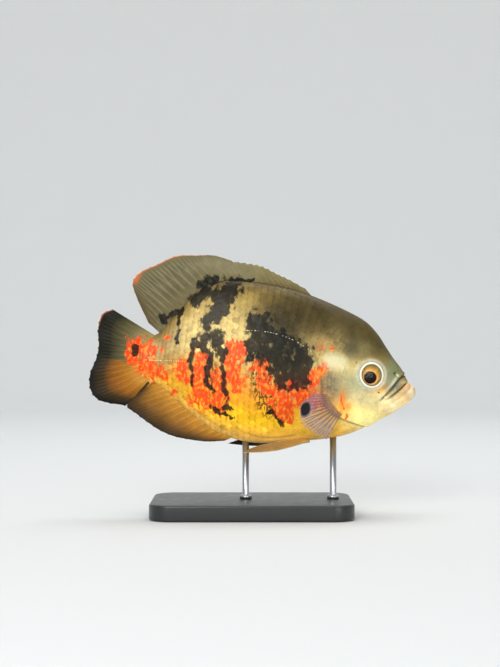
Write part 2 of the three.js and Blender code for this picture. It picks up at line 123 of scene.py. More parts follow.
# The eye from its middle, round the white ring and over the back: distance out and height
EYE_PROFILE = [
    (0.0, -0.5), (PUPIL["radius"] - 0.5, -0.5), (PUPIL["radius"], 0.1), (5.3, 0.5), (6.6, 0.62),
    (7.7, 0.55), (7.95, 0.5), (8.25, 1.0), (8.8, 1.15), (9.3, 0.85), (EYE["radius"], -0.1),
    (9.6, -1.4), (8.0, -2.4), (4.5, -2.9), (0.0, -3.0),
]
# Colours of the eye by distance out: pupil, gold iris, dark rim, white ring
EYE_SHADES = [
    (0.0, "#0a0403"), (4.4, "#160604"), (4.95, "#4a1a0a"), (5.2, "#ffbc68"), (5.9, "#f8b458"),
    (6.5, "#cfa04a"), (7.1, "#a98d44"), (7.8, "#7d7040"), (8.1, "#d6d0bc"), (8.45, "#fbf8ea"),
    (9.4, "#f2ecd8"), (9.85, "#9a987c"),
]
EYE_ROWS = 113  # points along the profile
EYE_FRONT_ROWS = 80  # of them in front, as far as the rim
EYE_STEPS = 97  # points round it
CORNEA_RIM = 8.35
CORNEA_BULGES = (2.1, 1.7)  # of its outer and inner face
CORNEA_ROWS = 25

SCALE_GRID = 5  # points along each side of the grid that one scale is made from
TUBE_GRID = (7, 9)  # points along and round one tube of the lateral line

# Markings: name, half width, and the places that a stroke passes through
BLACK_MARKS = [
    ("saddle rear edge", 5.0, [(-2, 37), (-1.5, 10)]),
    ("saddle heart", 9.0, [(4, 34), (9, 12)]),
    ("saddle middle", 7.0, [(12, 26), (27, 20)]),
    ("saddle foot", 10.5, [(14, 12), (29, -1)]),
    ("saddle front", 6.5, [(36, 17), (38, 6)]),
    ("saddle front foot", 6.0, [(33.5, 8), (38.5, -3)]),
    ("saddle toe", 3.5, [(19.5, -3), (23.5, -11)]),
    ("back bar", 8.0, [(-21.5, 59), (-27.5, 44)]),
    ("back bar foot", 5.5, [(-32, 40), (-36.5, 31)]),
    ("back bar front", 2.0, [(-28, 39.5), (-29, 31.5)]),
    ("back bar top", 1.5, [(-19.5, 64.5), (-6.5, 65.5)]),
    ("shoulder patch", 5.0, [(-47.5, 46.5), (-41, 53), (-29.5, 52.5)]),
    ("fin foot patch", 4.0, [(-42.5, 58.5), (-34.5, 63)]),
    ("stalk spot", 3.0, [(-69.5, 32), (-69, 29)]),
    ("stalk band", 2.0, [(-67, 31), (-57, 38)]),
    ("stalk bar", 1.4, [(-57, 36.5), (-57.5, 27), (-57, 13.5)]),
    ("rear patch front", 6.0, [(-30, 21.5), (-26, 12)]),
    ("rear patch", 4.5, [(-37.5, 19.5), (-36.5, 11)]),
    ("rear patch edge", 2.0, [(-44.5, 18), (-45.5, 9), (-45, -2)]),
    ("rear streak", 1.0, [(-44.5, -2), (-42, -17.5)]),
    ("long streak", 1.6, [(-24, 11.5), (-21.5, -1.5), (-18, -18), (-14.5, -30)]),
    ("middle streak", 2.0, [(-33, 10.5), (-30, -0.5)]),
    ("middle blot", 2.0, [(-33, -2.5), (-32.5, -12)]),
    ("middle foot", 2.0, [(-30, -15.5), (-27, -19)]),
    ("low blot rear", 2.0, [(-27, -30.5), (-21.5, -33.5)]),
    ("low blot front", 2.0, [(-17, -31), (-12, -31)]),
    ("low dots", 1.3, [(-19, -36), (-10.5, -37)]),
    ("belly dots", 2.0, [(18, -29.5), (26.5, -38)]),
]
SPOTS = [
    ("eyespot", 2.7, [(-88.6, 6.8), (-88, 2.4)]),
    ("cheek spot", 0.5, [(95.5, -7.4), (95.8, -7.6)]),
    ("temple spot", 0.4, [(76, 13), (76.5, 12.8)]),
    ("brow spot", 0.4, [(93.5, 26), (93.8, 26.5)]),
]
ORANGE_MARKS = [
    ("eyespot ring", 6.0, [(-88.5, 8.5), (-88, 0)]),
    ("tail patch upper", 6.0, [(-80, 8), (-76.5, 6.5)]),
    ("tail patch lower", 7.0, [(-82, -5), (-74, -8.5)]),
    ("stalk patch", 5.0, [(-51.5, -4.5), (-49, -11)]),
    ("stalk dot", 2.0, [(-65, 16), (-64.5, 15.5)]),
    ("stalk low dot", 2.5, [(-62.5, -10.5), (-61.5, -15)]),
    ("low dot", 2.0, [(-57, -22.5), (-55.5, -23.5)]),
    ("rear flank", 7.0, [(-38.5, 4.5), (-37, -20)]),
    ("rear flank low", 6.5, [(-38, -26), (-20.5, -30.5)]),
    ("middle flank", 7.0, [(-16, 12.5), (-11.5, -10)]),
    ("middle flank top", 3.5, [(-9.5, 17), (-6.5, 11.5)]),
    ("middle flank low", 5.0, [(-25, -7.5), (-20.5, -24)]),
    ("speckle band", 5.0, [(5.5, 5), (13.5, -14.5)]),
    ("coral rear", 8.0, [(21, -14), (28, -28.5)]),
    ("coral", 9.0, [(32, -13), (44, -17)]),
    ("coral front", 5.0, [(44.5, -4), (50, 5)]),
    ("breast streak", 0.6, [(67.5, -12), (69, -18), (70, -22)]),
    ("breast spots", 0.9, [(72.5, -25), (74, -28)]),
    ("cheek dot", 1.3, [(57, 21), (57, 20)]),
]
PALE_MARKS = [
    ("cheek blotch", 4.9, [(57.5, 12.6), (64.5, 11.4)]),
    ("lip tip", 2.2, [(121, -5.5), (122, -9)]),
    ("nostril mark", 0.7, [(108.2, 6.8), (108.8, 6)]),
]
GRAIN_MARKS = [
    ("front speckles", 12.0, [(3.5, 7), (14.5, -26)]),
    ("rear speckles", 8.0, [(-31, -2.5), (-25.5, -19)]),
]

# Ground colours by height, from the belly's edge (0) to the back's (1)
GROUND = [
    (0.0, "#f2c06a"), (0.06, "#ffc044"), (0.14, "#ffc616"), (0.28, "#f8a024"), (0.42, "#e0a44c"),
    (0.55, "#efd084"), (0.7, "#e3c478"), (0.84, "#b89b54"), (0.94, "#846e3a"), (1.0, "#5f4f2c"),
]
# Washes over the ground: name, colour, middle x and z, reach along x and z, strength
WASHES = [
    ("rear flank", "#8f7240", -66, 14, 14, 22, 0.75),
    ("tail stalk", "#b48d52", -76, -4, 14, 16, 0.6),
    ("low rear", "#c98a30", -52, -22, 14, 12, 0.5),
    ("saddle", "#2e2715", 20, 38, 24, 24, 0.97),
    ("saddle foot", "#40351e", 26, 14, 20, 15, 0.85),
    ("nape", "#42371a", 46, 45, 24, 20, 0.95),
    ("forehead", "#463c1f", 70, 39, 20, 20, 0.95),
    ("crown", "#524827", 90, 30, 17, 15, 0.95),
    ("temple", "#6e6740", 74, 21, 12, 9, 0.7),
    ("temple smudge", "#443c2c", 72, 24, 6, 8, 0.6),
    ("brow smudge", "#4a3d1c", 84, 37, 7, 5, 0.55),
    ("brow light", "#7d7048", 82, 24, 6, 5, 0.4),
    ("nape light", "#85744a", 60, 34, 8, 7, 0.45),
    ("shoulder light", "#b08d56", 53, 24, 6, 5, 0.55),
    ("shoulder haze", "#cb6a3c", 49, 21, 3.6, 3.6, 0.6),
    ("coral", "#d6824e", 38, -12, 20, 12, 0.8),
    ("gill cover", "#7b7056", 60, -5, 11, 13, 0.88),
    ("gill cover foot", "#b89c66", 61, -17, 7, 5, 0.6),
    ("cheek", "#aaaa7e", 79, -4, 16, 13, 0.92),
    ("lower cheek", "#e0d29a", 88, -15, 15, 8, 0.9),
    ("snout", "#6b7352", 105, 8, 8, 12, 0.94),
    ("breast", "#edb540", 56, -38, 24, 9, 0.8),
    ("throat", "#fff09c", 90, -28, 22, 10, 0.98),
    ("breast streak", "#ea8a2c", 69, -17, 2.4, 9, 0.75),
    ("breast dot", "#f09c38", 73.6, -20.3, 2.6, 2.6, 0.8),
    ("lower jaw", "#f3e0aa", 108, -16, 13, 8, 0.95),
    ("lower lip", "#d3b498", 120, -5, 6, 6, 0.9),
    ("upper lip", "#7f8474", 107, -2, 7, 6, 0.85),
]

# Fins, as in the solids, with their finer detail. thick is a ray's half thickness at its root and
# tip, membrane the sheet's between rays, notch how far the edge dips there, as a share of the
# fin's depth, bow how far the front ray bulges down
SPINY_DORSAL = {
    "edge": TOPS,
    "root_x": [38.5, 30, 20.5, 10, -1, -13.3],
    "tips": [(33.5, 64), (20.1, 69.9), (9.9, 73.4), (-0.4, 77.4), (-11, 78.4), (-23.4, 78.8)],
    "rays": 13, "per_ray": 12, "rows": 40, "thick": (0.75, 0.28), "membrane": 0.22,
    "sway": -1.6, "ripple": 0.2, "notch": 0.13, "spines": True,
}
SOFT_DORSAL = {
    "edge": TOPS,
    "root_x": [-13.1, -22.5, -32, -41.4, -50.2, -56.8, -62.7, -67.9, -71.5],
    "tips": [
        (-23.1, 78.9), (-37, 81.5), (-50.4, 80.2), (-65.3, 78.1), (-78.1, 70.8),
        (-90.2, 63.7), (-95.6, 55), (-91, 43.5), (-80.5, 26),
    ],
    "rays": 19, "per_ray": 14, "rows": 70, "thick": (0.75, 0.2), "membrane": 0.18,
    "sway": -1.6, "ripple": 0.45, "notch": 0.012,
}
ANAL = {
    "edge": BOTTOMS,
    "root_x": [-9.6, -17, -24.8, -32.8, -41, -48.3, -54.9, -60.5, -65.8, -71],
    "tips": [
        (-14.6, -55.9), (-27.6, -57.9), (-40.5, -57.8), (-52.6, -56.6), (-63.5, -53.4),
        (-73.5, -48.2), (-82.9, -42.7), (-90.3, -37.6), (-84.8, -29.7), (-76.6, -18),
    ],
    "rays": 17, "per_ray": 14, "rows": 56, "thick": (0.75, 0.2), "membrane": 0.18,
    "sway": -2.2, "ripple": 0.4, "notch": 0.014,
}
TAIL = {
    "roots": [
        (-75.6, 17.6), (-80.2, 13.6), (-82.6, 9), (-83.7, 4.2), (-84, -0.7), (-83.6, -5.6),
        (-82.2, -10.2), (-79.2, -14.8), (-73.6, -18.8),
    ],
    "tips": [
        (-108.9, 33.6), (-116.4, 29), (-118.4, 17.5), (-116.6, 5.5), (-117.6, -5), (-120.9, -17),
        (-119.4, -28.6), (-111, -36.2), (-91.5, -37.9),
    ],
    "rays": 16, "per_ray": 14, "rows": 80, "thick": (0.85, 0.2), "membrane": 0.2,
    "sway": 1.7, "ripple": 0.35, "notch": 0.016,
}
PECTORAL = {
    "roots": [(56.5, -13.5), (60, -18.5), (64.5, -23), (69, -26.5)],
    "tips": [(47.5, -11.8), (40.6, -17.5), (37.8, -25), (41, -34), (49.5, -41.5), (60, -45)],
    "flare": [15, 24, 29, 30, 26, 18],
    "rays": 13, "per_ray": 14, "rows": 60, "thick": (0.62, 0.16), "membrane": 0.14,
    "sway": 1.4, "ripple": 0.5, "notch": 0.03,
}
PELVIC = {
    "roots": [(45.5, -50.2), (41.5, -49.3), (37.5, -48.2)],
    "tips": [(-1.6, -62.8), (2.4, -60.6), (11, -56.6)],
    "root_y": [7.6, 6.4, 5.4],
    "tip_y": [8.6, 7.2, 6.2], "left_back": 11,
    "rays": 6, "per_ray": 14, "rows": 60, "thick": (0.7, 0.2), "membrane": 0.18,
    "sway": 0.3, "ripple": 0.1, "notch": 0.015, "bow": 2.8,
}
FIN_SINK = 3.5  # how far the fins' roots run on inside the body

# Stand
BASE_EDGE = 1.5
BASE_CORNER = 16
ROD_RADIUS = 2.5
ROD_SINK = 1.5  # how far a rod's top runs on inside the body
FOOT_RADIUS = 4.5
FOOT_HEIGHT = 3
FOOT_EDGE = 0.8
FOOT_FILLET = 0.5

# Studio, in metres: name, place, aim and width of each light
FISH_MIDDLE = (0, 0, 0.12)
LIGHTS = [
    ("key", (-0.5, -1.5, 0.75), FISH_MIDDLE, 0.8),
    ("fill", (0.9, -1.6, 0.14), FISH_MIDDLE, 0.9),
    ("back", (0.3, 0.55, 1.3), FISH_MIDDLE, 0.6),
    ("paper", (0, 0.5, 2.2), (0, 1.3, 0.3), 1.6),
]
SWEEP_RADIUS = 2.6
SWEEP_BEND = 1.0
SWEEP_HEIGHT = 4


# Numbers and curves

def colour(text):
    """Linear red, green and blue of a hex colour."""
    part = np.array([int(text[i:i + 2], 16) / 255 for i in (1, 3, 5)])
    return np.where(part <= 0.04045, part / 12.92, ((part + 0.055) / 1.055) ** 2.4)


def smooth(low, high, value):
    """0 below low, 1 above high, with an S-shaped rise between them."""
    share = np.clip((value - low) / (high - low), 0, 1)
    return share * share * (3 - 2 * share)


def bump(distance, reach):
    """A bell curve, 1 at distance 0."""
    return np.exp(-(distance / reach) ** 2)


def through(points, t):
    """Catmull-Rom curve through the points; t runs from 0 to 1, evenly over its spans."""
    p = np.asarray(points, float)
    p = np.vstack([2 * p[0] - p[1], p, 2 * p[-1] - p[-2]])
    u = np.clip(t, 0, 1) * (len(p) - 3)
    i = np.minimum(u.astype(int), len(p) - 4)
    w = (u - i)[..., None]
    a, b, c, d = p[i], p[i + 1], p[i + 2], p[i + 3]
    return 0.5 * (
        2 * b + (c - a) * w + (2 * a - 5 * b + 4 * c - d) * w ** 2 + (3 * b - a - 3 * c + d) * w ** 3
    )


def unit(vectors):
    """Vectors scaled to length 1, where they have a length."""
    return vectors / np.maximum(np.linalg.norm(vectors, axis=-1, keepdims=True), 1e-9)


def to_line(line, x, z, steps=60):
    """Distance in the side view from points to a curve, which side they lie on, and how far along.

    The curve is cut into straight steps. The distance is to the nearest of them, and the side is
    the sign of the cross product of that step and the way to the point.
    """
    at = through(line, np.linspace(0, 1, steps + 1))
    best = np.full(x.shape, 1e9)
    side = np.zeros(x.shape)
    along = np.zeros(x.shape)
    for i, (a, b) in enumerate(zip(at[:-1], at[1:])):
        run = b - a
        share = np.clip(((x - a[0]) * run[0] + (z - a[1]) * run[1]) / (run @ run), 0, 1)
        gap_x = x - a[0] - share * run[0]
        gap_z = z - a[1] - share * run[1]
        gap = np.hypot(gap_x, gap_z)
        nearer = gap < best
        best = np.where(nearer, gap, best)
        side = np.where(nearer, np.sign(run[0] * gap_z - run[1] * gap_x), side)
        along = np.where(nearer, (i + share) / steps, along)
    return best, side, along


def to_stroke(points, x, z):
    """Distance in the side view from points to a chain of straight strokes."""
    best = np.full(x.shape, 1e9)
    for a, b in zip(points[:-1], points[1:]):
        run_x, run_z = b[0] - a[0], b[1] - a[1]
        share = np.clip(((x - a[0]) * run_x + (z - a[1]) * run_z) / (run_x ** 2 + run_z ** 2), 0, 1)
        best = np.minimum(best, np.hypot(x - a[0] - share * run_x, z - a[1] - share * run_z))
    return best


def field(marks, x, z):
    """How deep each point lies in the marks: 0.5 on an edge, 1 in a middle, -0.5 far outside."""
    deepest = np.full(x.shape, -2.0)
    for _, half, points in marks:
        deepest = np.maximum(deepest, 1 - to_stroke(points, x, z) / half)
    return 0.5 + 0.5 * deepest


def forms(table, gap):
    """Ridges and grooves at a distance from a line: the sum of their heights times bell curves."""
    return sum(height * bump(gap - place, half) for height, place, half in table)


def blend_stops(value, stops):
    """Colour at a value, on straight lines between the stops' colours."""
    shades = np.array([colour(text) for _, text in stops])
    places = [place for place, _ in stops]
    return np.stack([np.interp(value, places, shades[:, i]) for i in range(3)], -1)


def toward(tint, text, share):
    """Part of the way from a tint to a colour."""
    return tint + (colour(text) - tint) * np.asarray(share)[..., None]


# The body

def body(t, angle):
    """Point of the body at t from mouth (0) to tail (1), at an angle round the loop.

    Angle 0 is the left side, a quarter turn the back, a half turn the right side. In the side
    view a loop runs from its side point to its top or bottom point as a power of the sine, and
    across as the cosine, so that it is an oval.
    """
    side = through(SIDES, t)
    up = np.sin(angle)
    end = np.where((up >= 0)[..., None], through(TOPS, t), through(BOTTOMS, t))
    face = np.clip(t * LAST / FACE_STATIONS, 0, 1)
    share = np.abs(up)
    share = np.where(share < 1e-9, 0, share)
    x = side[..., 0] + (end[..., 0] - side[..., 0]) * share ** (1 + face)
    z = side[..., 1] + (end[..., 1] - side[..., 1]) * share ** (1.5 - 0.58 * face)
    return np.stack([x, side[..., 2] * np.cos(angle), z], -1)


def body_normal(t, angle):
    """Outward direction of the body, from small steps along it and round it."""
    step = 2e-3
    along = body(np.clip(t + step, 0, 1), angle) - body(np.clip(t - step, 0, 1), angle)
    round_it = body(t, angle + step) - body(t, angle - step)
    return unit(np.cross(along, round_it))


def body_height(t, points):
    """Height of points in their loop: 0 at the belly's edge, 1 at the back's."""
    low = through(BOTTOMS, t)[..., 1]
    top = through(TOPS, t)[..., 1]
    return np.clip((points[..., 2] - low) / np.maximum(top - low, 0.5), 0, 1)


def find_on_side(x, z):
    """The t and angle of the place on the left side that shows at x, z."""
    t0, a0, reach = 0.4, 0.0, 1.0
    for _ in range(9):
        t = np.clip(t0 + np.linspace(-0.4, 0.4, 17) * reach, 0.02, 0.98)
        a = np.clip(a0 + np.linspace(-1.5, 1.5, 17) * reach, -1.5, 1.5)
        grid_t, grid_a = np.meshgrid(t, a, indexing="ij")
        points = body(grid_t, grid_a)
        best = np.argmin(np.hypot(points[..., 0] - x, points[..., 2] - z))
        t0, a0 = grid_t.flat[best], grid_a.flat[best]
        reach /= 3
    return t0, a0


def mouth_gap(x, z):
    """Distance in the side view to the mouth line: the body's first loop, from its side to its top."""
    mouth = body(np.zeros(40), np.linspace(0, math.pi / 2, 40))
    return to_line(mouth[:, [0, 2]], x, z)[0]


def gill_edge(x, z):
    """Distance from the gill cover's edge, positive on the cover, and 1 fading to 0 at its ends."""
    gap, side, along = to_line(GILL_EDGE, x, z)
    return gap * side, smooth(0.0, 0.12, along) * (1 - smooth(0.86, 1.0, along))


def skin_relief(t, angle, points):
    """Height of the skin's forms over the plain body, in mm, as a sum of steps and bell curves."""
    x, z = points[..., 0], points[..., 2]
    face = 1 - smooth(0.2, 0.36, t)

    # Lip crests, the groove behind them and, beyond the mouth's corner, a shallow cleft
    lip = mouth_gap(x, z)
    corner = smooth(96.5, 101, x)
    lift = forms(LIP_FORMS, lip) * face * corner
    lift -= 0.8 * bump(lip, 0.7) * (1 - corner) * face
    lift += forms(FOLD_FORMS, to_line(LIP_FOLD, x, z)[0]) * face

    # The gill cover stands over the flank and sinks back into the cheek
    inside, ends = gill_edge(x, z)
    lift += ends * 1.15 * np.exp(-np.maximum(inside, 0) / 8) * smooth(-0.45, 0.25, inside)
    lift -= ends * 0.5 * bump(inside + 0.9, 0.8)
    lift -= ends * 0.18 * bump(inside - 2.4, 0.9)

    # The ridge inside the cover, and the groove low on it
    gap, side, along = to_line(PREOPERCLE, x, z)
    before = -gap * side
    ends = smooth(0.0, 0.2, along) * (1 - smooth(0.8, 1.0, along))
    lift += ends * 0.55 * np.exp(-np.maximum(before, 0) / 6) * smooth(-0.5, 0.5, before)
    lift -= ends * 0.3 * bump(gap, 0.9)
    gap, _, along = to_line(SUBOPERCLE, x, z)
    lift -= 0.3 * bump(gap, 0.8) * smooth(0, 0.2, along) * (1 - smooth(0.8, 1, along))

    # Eye socket, its rim and the hollow under it
    gap = np.hypot(x - EYE["x"], z - EYE["z"])
    lift -= 3.2 * (1 - smooth(7.6, 9.4, gap))
    lift += forms(EYE_FORMS, gap)
    lift -= 0.35 * bump(np.hypot(x - EYE["x"] - 1, (z - EYE["z"] + 14.5) * 1.6), 5)

    lift += forms(NOSTRIL_FORMS, np.hypot(x - NOSTRIL[0], z - NOSTRIL[1]))
    for pore_x, pore_z in CHEEK_PORES:
        lift += forms(PORE_FORMS, np.hypot(x - pore_x, z - pore_z))

    # Full cheek, hollow brow, belly crease and the faint waves of the flank's muscles
    lift += 0.7 * bump(np.hypot((x - 80) / 1.4, z + 8), 9)
    lift -= 0.5 * bump(np.hypot((x - 96) / 1.6, z - 17), 6)
    lift -= 0.4 * bump(to_line(KEEL_CREASE, x, z)[0], 0.8)
    flank = (1 - smooth(30, 48, x)) * smooth(-80, -60, x) * np.abs(np.cos(angle))
    lift += 0.12 * flank * np.sin(x * 0.62 + 0.35 * np.abs(z))
    return lift * smooth(0, 0.01, t)


def crease_shade(t, points):
    """How dark the painted shade in the folds is: the darkest of the mouth, lip fold, gill edge and
    nostrils.
    """
    x, z = points[..., 0], points[..., 2]
    face = 1 - smooth(0.2, 0.36, t)
    inside, ends = gill_edge(x, z)
    shades = [
        0.8 * bump(mouth_gap(x, z), 0.75) * face * smooth(99, 106, x),
        0.7 * bump(to_line(LIP_FOLD, x, z)[0], 0.9) * face,
        0.45 * ends * bump(inside + 0.8, 0.9),
        0.3 * bump(to_line(KEEL_CREASE, x, z)[0], 0.7),
        0.8 * bump(np.hypot(x - NOSTRIL[0], z - NOSTRIL[1]), 0.9),
    ]
    return np.maximum.reduce(shades)


def skin_point(t, angle):
    """Points of the finished skin, with their outward directions."""
    points = body(t, angle)
    normal = body_normal(t, angle)
    return points + normal * skin_relief(t, angle, points)[..., None], normal


def ground_tint(t, points):
    """Smooth ground colour of the skin: by height, each wash as a soft oval, then painted shade in the
    folds.
    """
    tint = blend_stops(body_height(t, points), GROUND)
    x, z = points[..., 0], points[..., 2]
    for _, text, wash_x, wash_z, reach_x, reach_z, strength in WASHES:
        apart = ((x - wash_x) / reach_x) ** 2 + ((z - wash_z) / reach_z) ** 2
        tint = toward(tint, text, strength * np.exp(-apart ** 1.4))
    eye_gap = np.hypot(x - EYE["x"], z - EYE["z"])
    tint = toward(tint, "#c9cbb8", 0.55 * bump(eye_gap - 10.8, 1.6))
    fold_gap, _, _ = to_line(LIP_FOLD, x, z)
    tint = toward(tint, "#d8d4ac", 0.6 * bump(fold_gap - 2.4, 1.1) * (x < 108) * (z > -14))
    # Painted shade in the mouth, the lip fold, under the gill cover's edge, the belly crease and the
    # nostril
    return toward(tint, "#2b2d20", crease_shade(t, points))


def marks(x, z):
    """Black, orange, pale and grain fields at side-view places, as one colour.

    Waves bend the places that the larger marks are read at. The spots aren't bent, and their
    field is steeper, so that they keep a clean edge.
    """
    wave_x = x + 0.7 * np.sin(0.41 * z + 1.3) + 0.35 * np.sin(1.15 * z + 0.4 * x)
    wave_z = z + 0.8 * np.sin(0.53 * x + 0.6) + 0.4 * np.sin(1.4 * x - 0.3 * z)
    spot = np.clip(0.5 + 2.5 * (field(SPOTS, x, z) - 0.5), -1, 1.6)
    return np.stack([
        np.maximum(field(BLACK_MARKS, wave_x, wave_z), spot),
        field(ORANGE_MARKS, wave_x, wave_z),
        field(PALE_MARKS, x, z),
        field(GRAIN_MARKS, x, z),
    ], -1)


# Meshes

def placed(points):
    """From the fish's own frame in mm to metres: pitched nose down, then moved into place."""
    x, y, z = np.moveaxis(np.asarray(points), -1, 0)
    cos, sin = math.cos(NOSE_DOWN), math.sin(NOSE_DOWN)
    return np.stack([x * cos + z * sin + FISH_X, y, z * cos - x * sin + AXIS_HEIGHT], -1) * MM


def grid_quads(rows, columns, first=0):
    """Quads of a grid of points stored row by row."""
    i, j = np.meshgrid(np.arange(rows - 1), np.arange(columns - 1), indexing="ij")
    corner = first + (i * columns + j).ravel()
    return np.stack([corner, corner + 1, corner + columns + 1, corner + columns], -1)


def plate_quads(rows, columns):
    """Quads of a closed plate: a front grid, a back grid and the rim between them."""
    front = grid_quads(rows, columns)
    count = rows * columns
    back = grid_quads(rows, columns, count)[:, ::-1]
    loop = np.concatenate([
        np.arange(columns),
        np.arange(1, rows) * columns + columns - 1,
        (rows - 1) * columns + np.arange(columns - 2, -1, -1),
        np.arange(rows - 2, 0, -1) * columns,
    ])
    after = np.roll(loop, -1)
    rim = np.stack([after, loop, loop + count, after + count], -1)
    return np.concatenate([front, back, rim])


def new_piece(name, points, faces, material, replaces=(), tint=None, marking=None, uv=None,
              merge=1e-7, sharp=None):
    """A mesh object from points in metres, with its doubles merged and its faces outwards.

    tint and marking become point colours, and uv the map OFBake. sharp is the angle, in degrees,
    past which an edge is drawn sharp.
    """
    points = np.asarray(points, float).reshape(-1, 3)
    mesh = bpy.data.meshes.new(name)
    mesh.from_pydata(points.tolist(), [], np.asarray(faces).tolist())
    if tint is not None:
        shades = np.ones((len(points), 4))
        tint = tint.reshape(len(points), -1)
        shades[:, :tint.shape[1]] = tint
        layer = mesh.color_attributes.new("tint", "FLOAT_COLOR", "POINT")
        layer.data.foreach_set("color", shades.ravel())
    if marking is not None:
        layer = mesh.color_attributes.new("marks", "FLOAT_COLOR", "POINT")
        layer.data.foreach_set("color", marking.reshape(-1, 4).ravel())
    if uv is not None:
        corners = np.empty(len(mesh.loops), int)
        mesh.loops.foreach_get("vertex_index", corners)
        layer = mesh.uv_layers.new(name="OFBake")
        layer.data.foreach_set("uv", uv.reshape(-1, 2)[corners].ravel())
    shape = bmesh.new()
    shape.from_mesh(mesh)
    bmesh.ops.remove_doubles(shape, verts=shape.verts, dist=merge)
    bmesh.ops.dissolve_degenerate(shape, edges=shape.edges, dist=1e-8)
    if shape.calc_volume(signed=True) < 0:
        bmesh.ops.reverse_faces(shape, faces=shape.faces)
    shape.to_mesh(mesh)
    shape.free()
    mesh.shade_smooth()
    if sharp:
        mesh.set_sharp_from_angle(angle=math.radians(sharp))
    mesh.materials.append(material)
    piece = bpy.data.objects.new(name, mesh)
    bpy.context.scene.collection.objects.link(piece)
    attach(piece, BODY)
    if replaces:
        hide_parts(*replaces)


def turned(profile_radius, profile_height, steps):
    """A surface of revolution round the upright axis: each profile point drawn as a circle."""
    turn = np.linspace(0, 2 * math.pi, steps)[None]
    radius, height = profile_radius[:, None], profile_height[:, None]
    return np.stack(np.broadcast_arrays(radius * np.cos(turn), radius * np.sin(turn), height), -1)


def repeated(quads, points_each, count):
    """The quads of one small shape, for each of its copies."""
    return (quads[None] + points_each * np.arange(count)[:, None, None]).reshape(-1, 4)


# Shader node groups and materials

class Tree:
    """A node tree being filled, with short calls for what the materials here use."""

    def __init__(self, tree):
        self.tree = tree

    def node(self, kind, **settings):
        """A new node with its settings."""
        made = self.tree.nodes.new(kind)
        for name, value in settings.items():
            setattr(made, name, value)
        return made

    def feed(self, socket, value):
        """Links an output to a socket, or sets the socket's own value."""
        if isinstance(value, bpy.types.NodeSocket):
            self.tree.links.new(value, socket)
        else:
            socket.default_value = value

    def math(self, operation, *values):
        """A sum, product or other result of numbers."""
        made = self.node("ShaderNodeMath", operation=operation)
        for socket, value in zip(made.inputs, values):
            self.feed(socket, value)
        return made.outputs[0]

    def stretched(self, vector, factor):
        """A vector times another vector."""
        made = self.node("ShaderNodeVectorMath", operation="MULTIPLY")
        self.feed(made.inputs[0], vector)
        self.feed(made.inputs[1], factor)
        return made.outputs[0]

    def noise(self, vector, scale, detail=3.0, roughness=0.55):
        """A noise from 0 to 1."""
        made = self.node("ShaderNodeTexNoise")
        values = {"Vector": vector, "Scale": scale, "Detail": detail, "Roughness": roughness}
        for label, value in values.items():
            self.feed(made.inputs[label], value)
        return made.outputs["Fac"]

    def mix(self, share, first, second):
        """Part of the way from one colour to another."""
        made = self.node("ShaderNodeMix", data_type="RGBA")
        self.feed(made.inputs[0], share)
        self.feed(made.inputs[6], first)
        self.feed(made.inputs[7], second)
        return made.outputs[2]

    def ramp(self, value, low, high):
        """A value mapped smoothly from low..high to 0..1."""
        made = self.node("ShaderNodeMapRange", interpolation_type="SMOOTHSTEP")
        self.feed(made.inputs["Value"], value)
        self.feed(made.inputs["From Min"], low)
        self.feed(made.inputs["From Max"], high)
        return made.outputs["Result"]

    def group(self, tree, **values):
        """The first output of a node group with its inputs fed."""
        made = self.node("ShaderNodeGroup", node_tree=tree)
        for name, value in values.items():
            self.feed(made.inputs[name.replace("_", " ")], value)
        return made.outputs[0]


def new_group(name, inputs, outputs):
    """An empty shader group with named sockets, and its input and output nodes."""
    tree = bpy.data.node_groups.new(name, "ShaderNodeTree")
    for label, kind, start in inputs:
        socket = tree.interface.new_socket(name=label, in_out="INPUT", socket_type=kind)
        if start is not None:
            socket.default_value = start
    for label, kind in outputs:
        tree.interface.new_socket(name=label, in_out="OUTPUT", socket_type=kind)
    build = Tree(tree)
    return tree, build, build.node("NodeGroupInput").outputs, build.node("NodeGroupOutput").inputs


NUMBER = "NodeSocketFloat"
VECTOR = "NodeSocketVector"
COLOUR = "NodeSocketColor"


def ragged_mask_group():
    """Turns a smooth field into a patch with a ragged edge: noise moves the edge in and out."""
    tree, build, given, result = new_group("Ragged Mask", [
        ("Vector", VECTOR, None), ("Field", NUMBER, 0.0), ("Patch Size", NUMBER, 3.0),
        ("Raggedness", NUMBER, 0.5), ("Softness", NUMBER, 0.06),
    ], [("Mask", NUMBER)])
    scale = build.math("DIVIDE", 1000.0, given["Patch Size"])
    noise = build.noise(given["Vector"], scale, detail=5.0, roughness=0.62)
    moved = build.math("MULTIPLY", build.math("SUBTRACT", noise, 0.5), given["Raggedness"])
    edge = build.math("ADD", build.math("SUBTRACT", given["Field"], 0.5), moved)
    low = build.math("MULTIPLY", given["Softness"], -1.0)
    build.feed(result["Mask"], build.ramp(edge, low, given["Softness"]))
    return tree


def mottle_group():
    """Varies a colour's lightness in patches of a given size."""
    tree, build, given, result = new_group("Mottle", [
        ("Vector", VECTOR, None), ("Color", COLOUR, None), ("Patch Size", NUMBER, 5.0),
        ("Amount", NUMBER, 0.3),
    ], [("Color", COLOUR)])
    scale = build.math("DIVIDE", 1000.0, given["Patch Size"])
    noise = build.noise(given["Vector"], scale, detail=4.0, roughness=0.6)
    swing = build.math("MULTIPLY", build.math("SUBTRACT", noise, 0.5), 2.6)
    lightness = build.math("ADD", 1.0, build.math("MULTIPLY", swing, given["Amount"]))
    varied = build.node("ShaderNodeVectorMath", operation="SCALE")
    build.feed(varied.inputs[0], given["Color"])
    build.feed(varied.inputs["Scale"], lightness)
    build.feed(result["Color"], varied.outputs[0])
    return tree


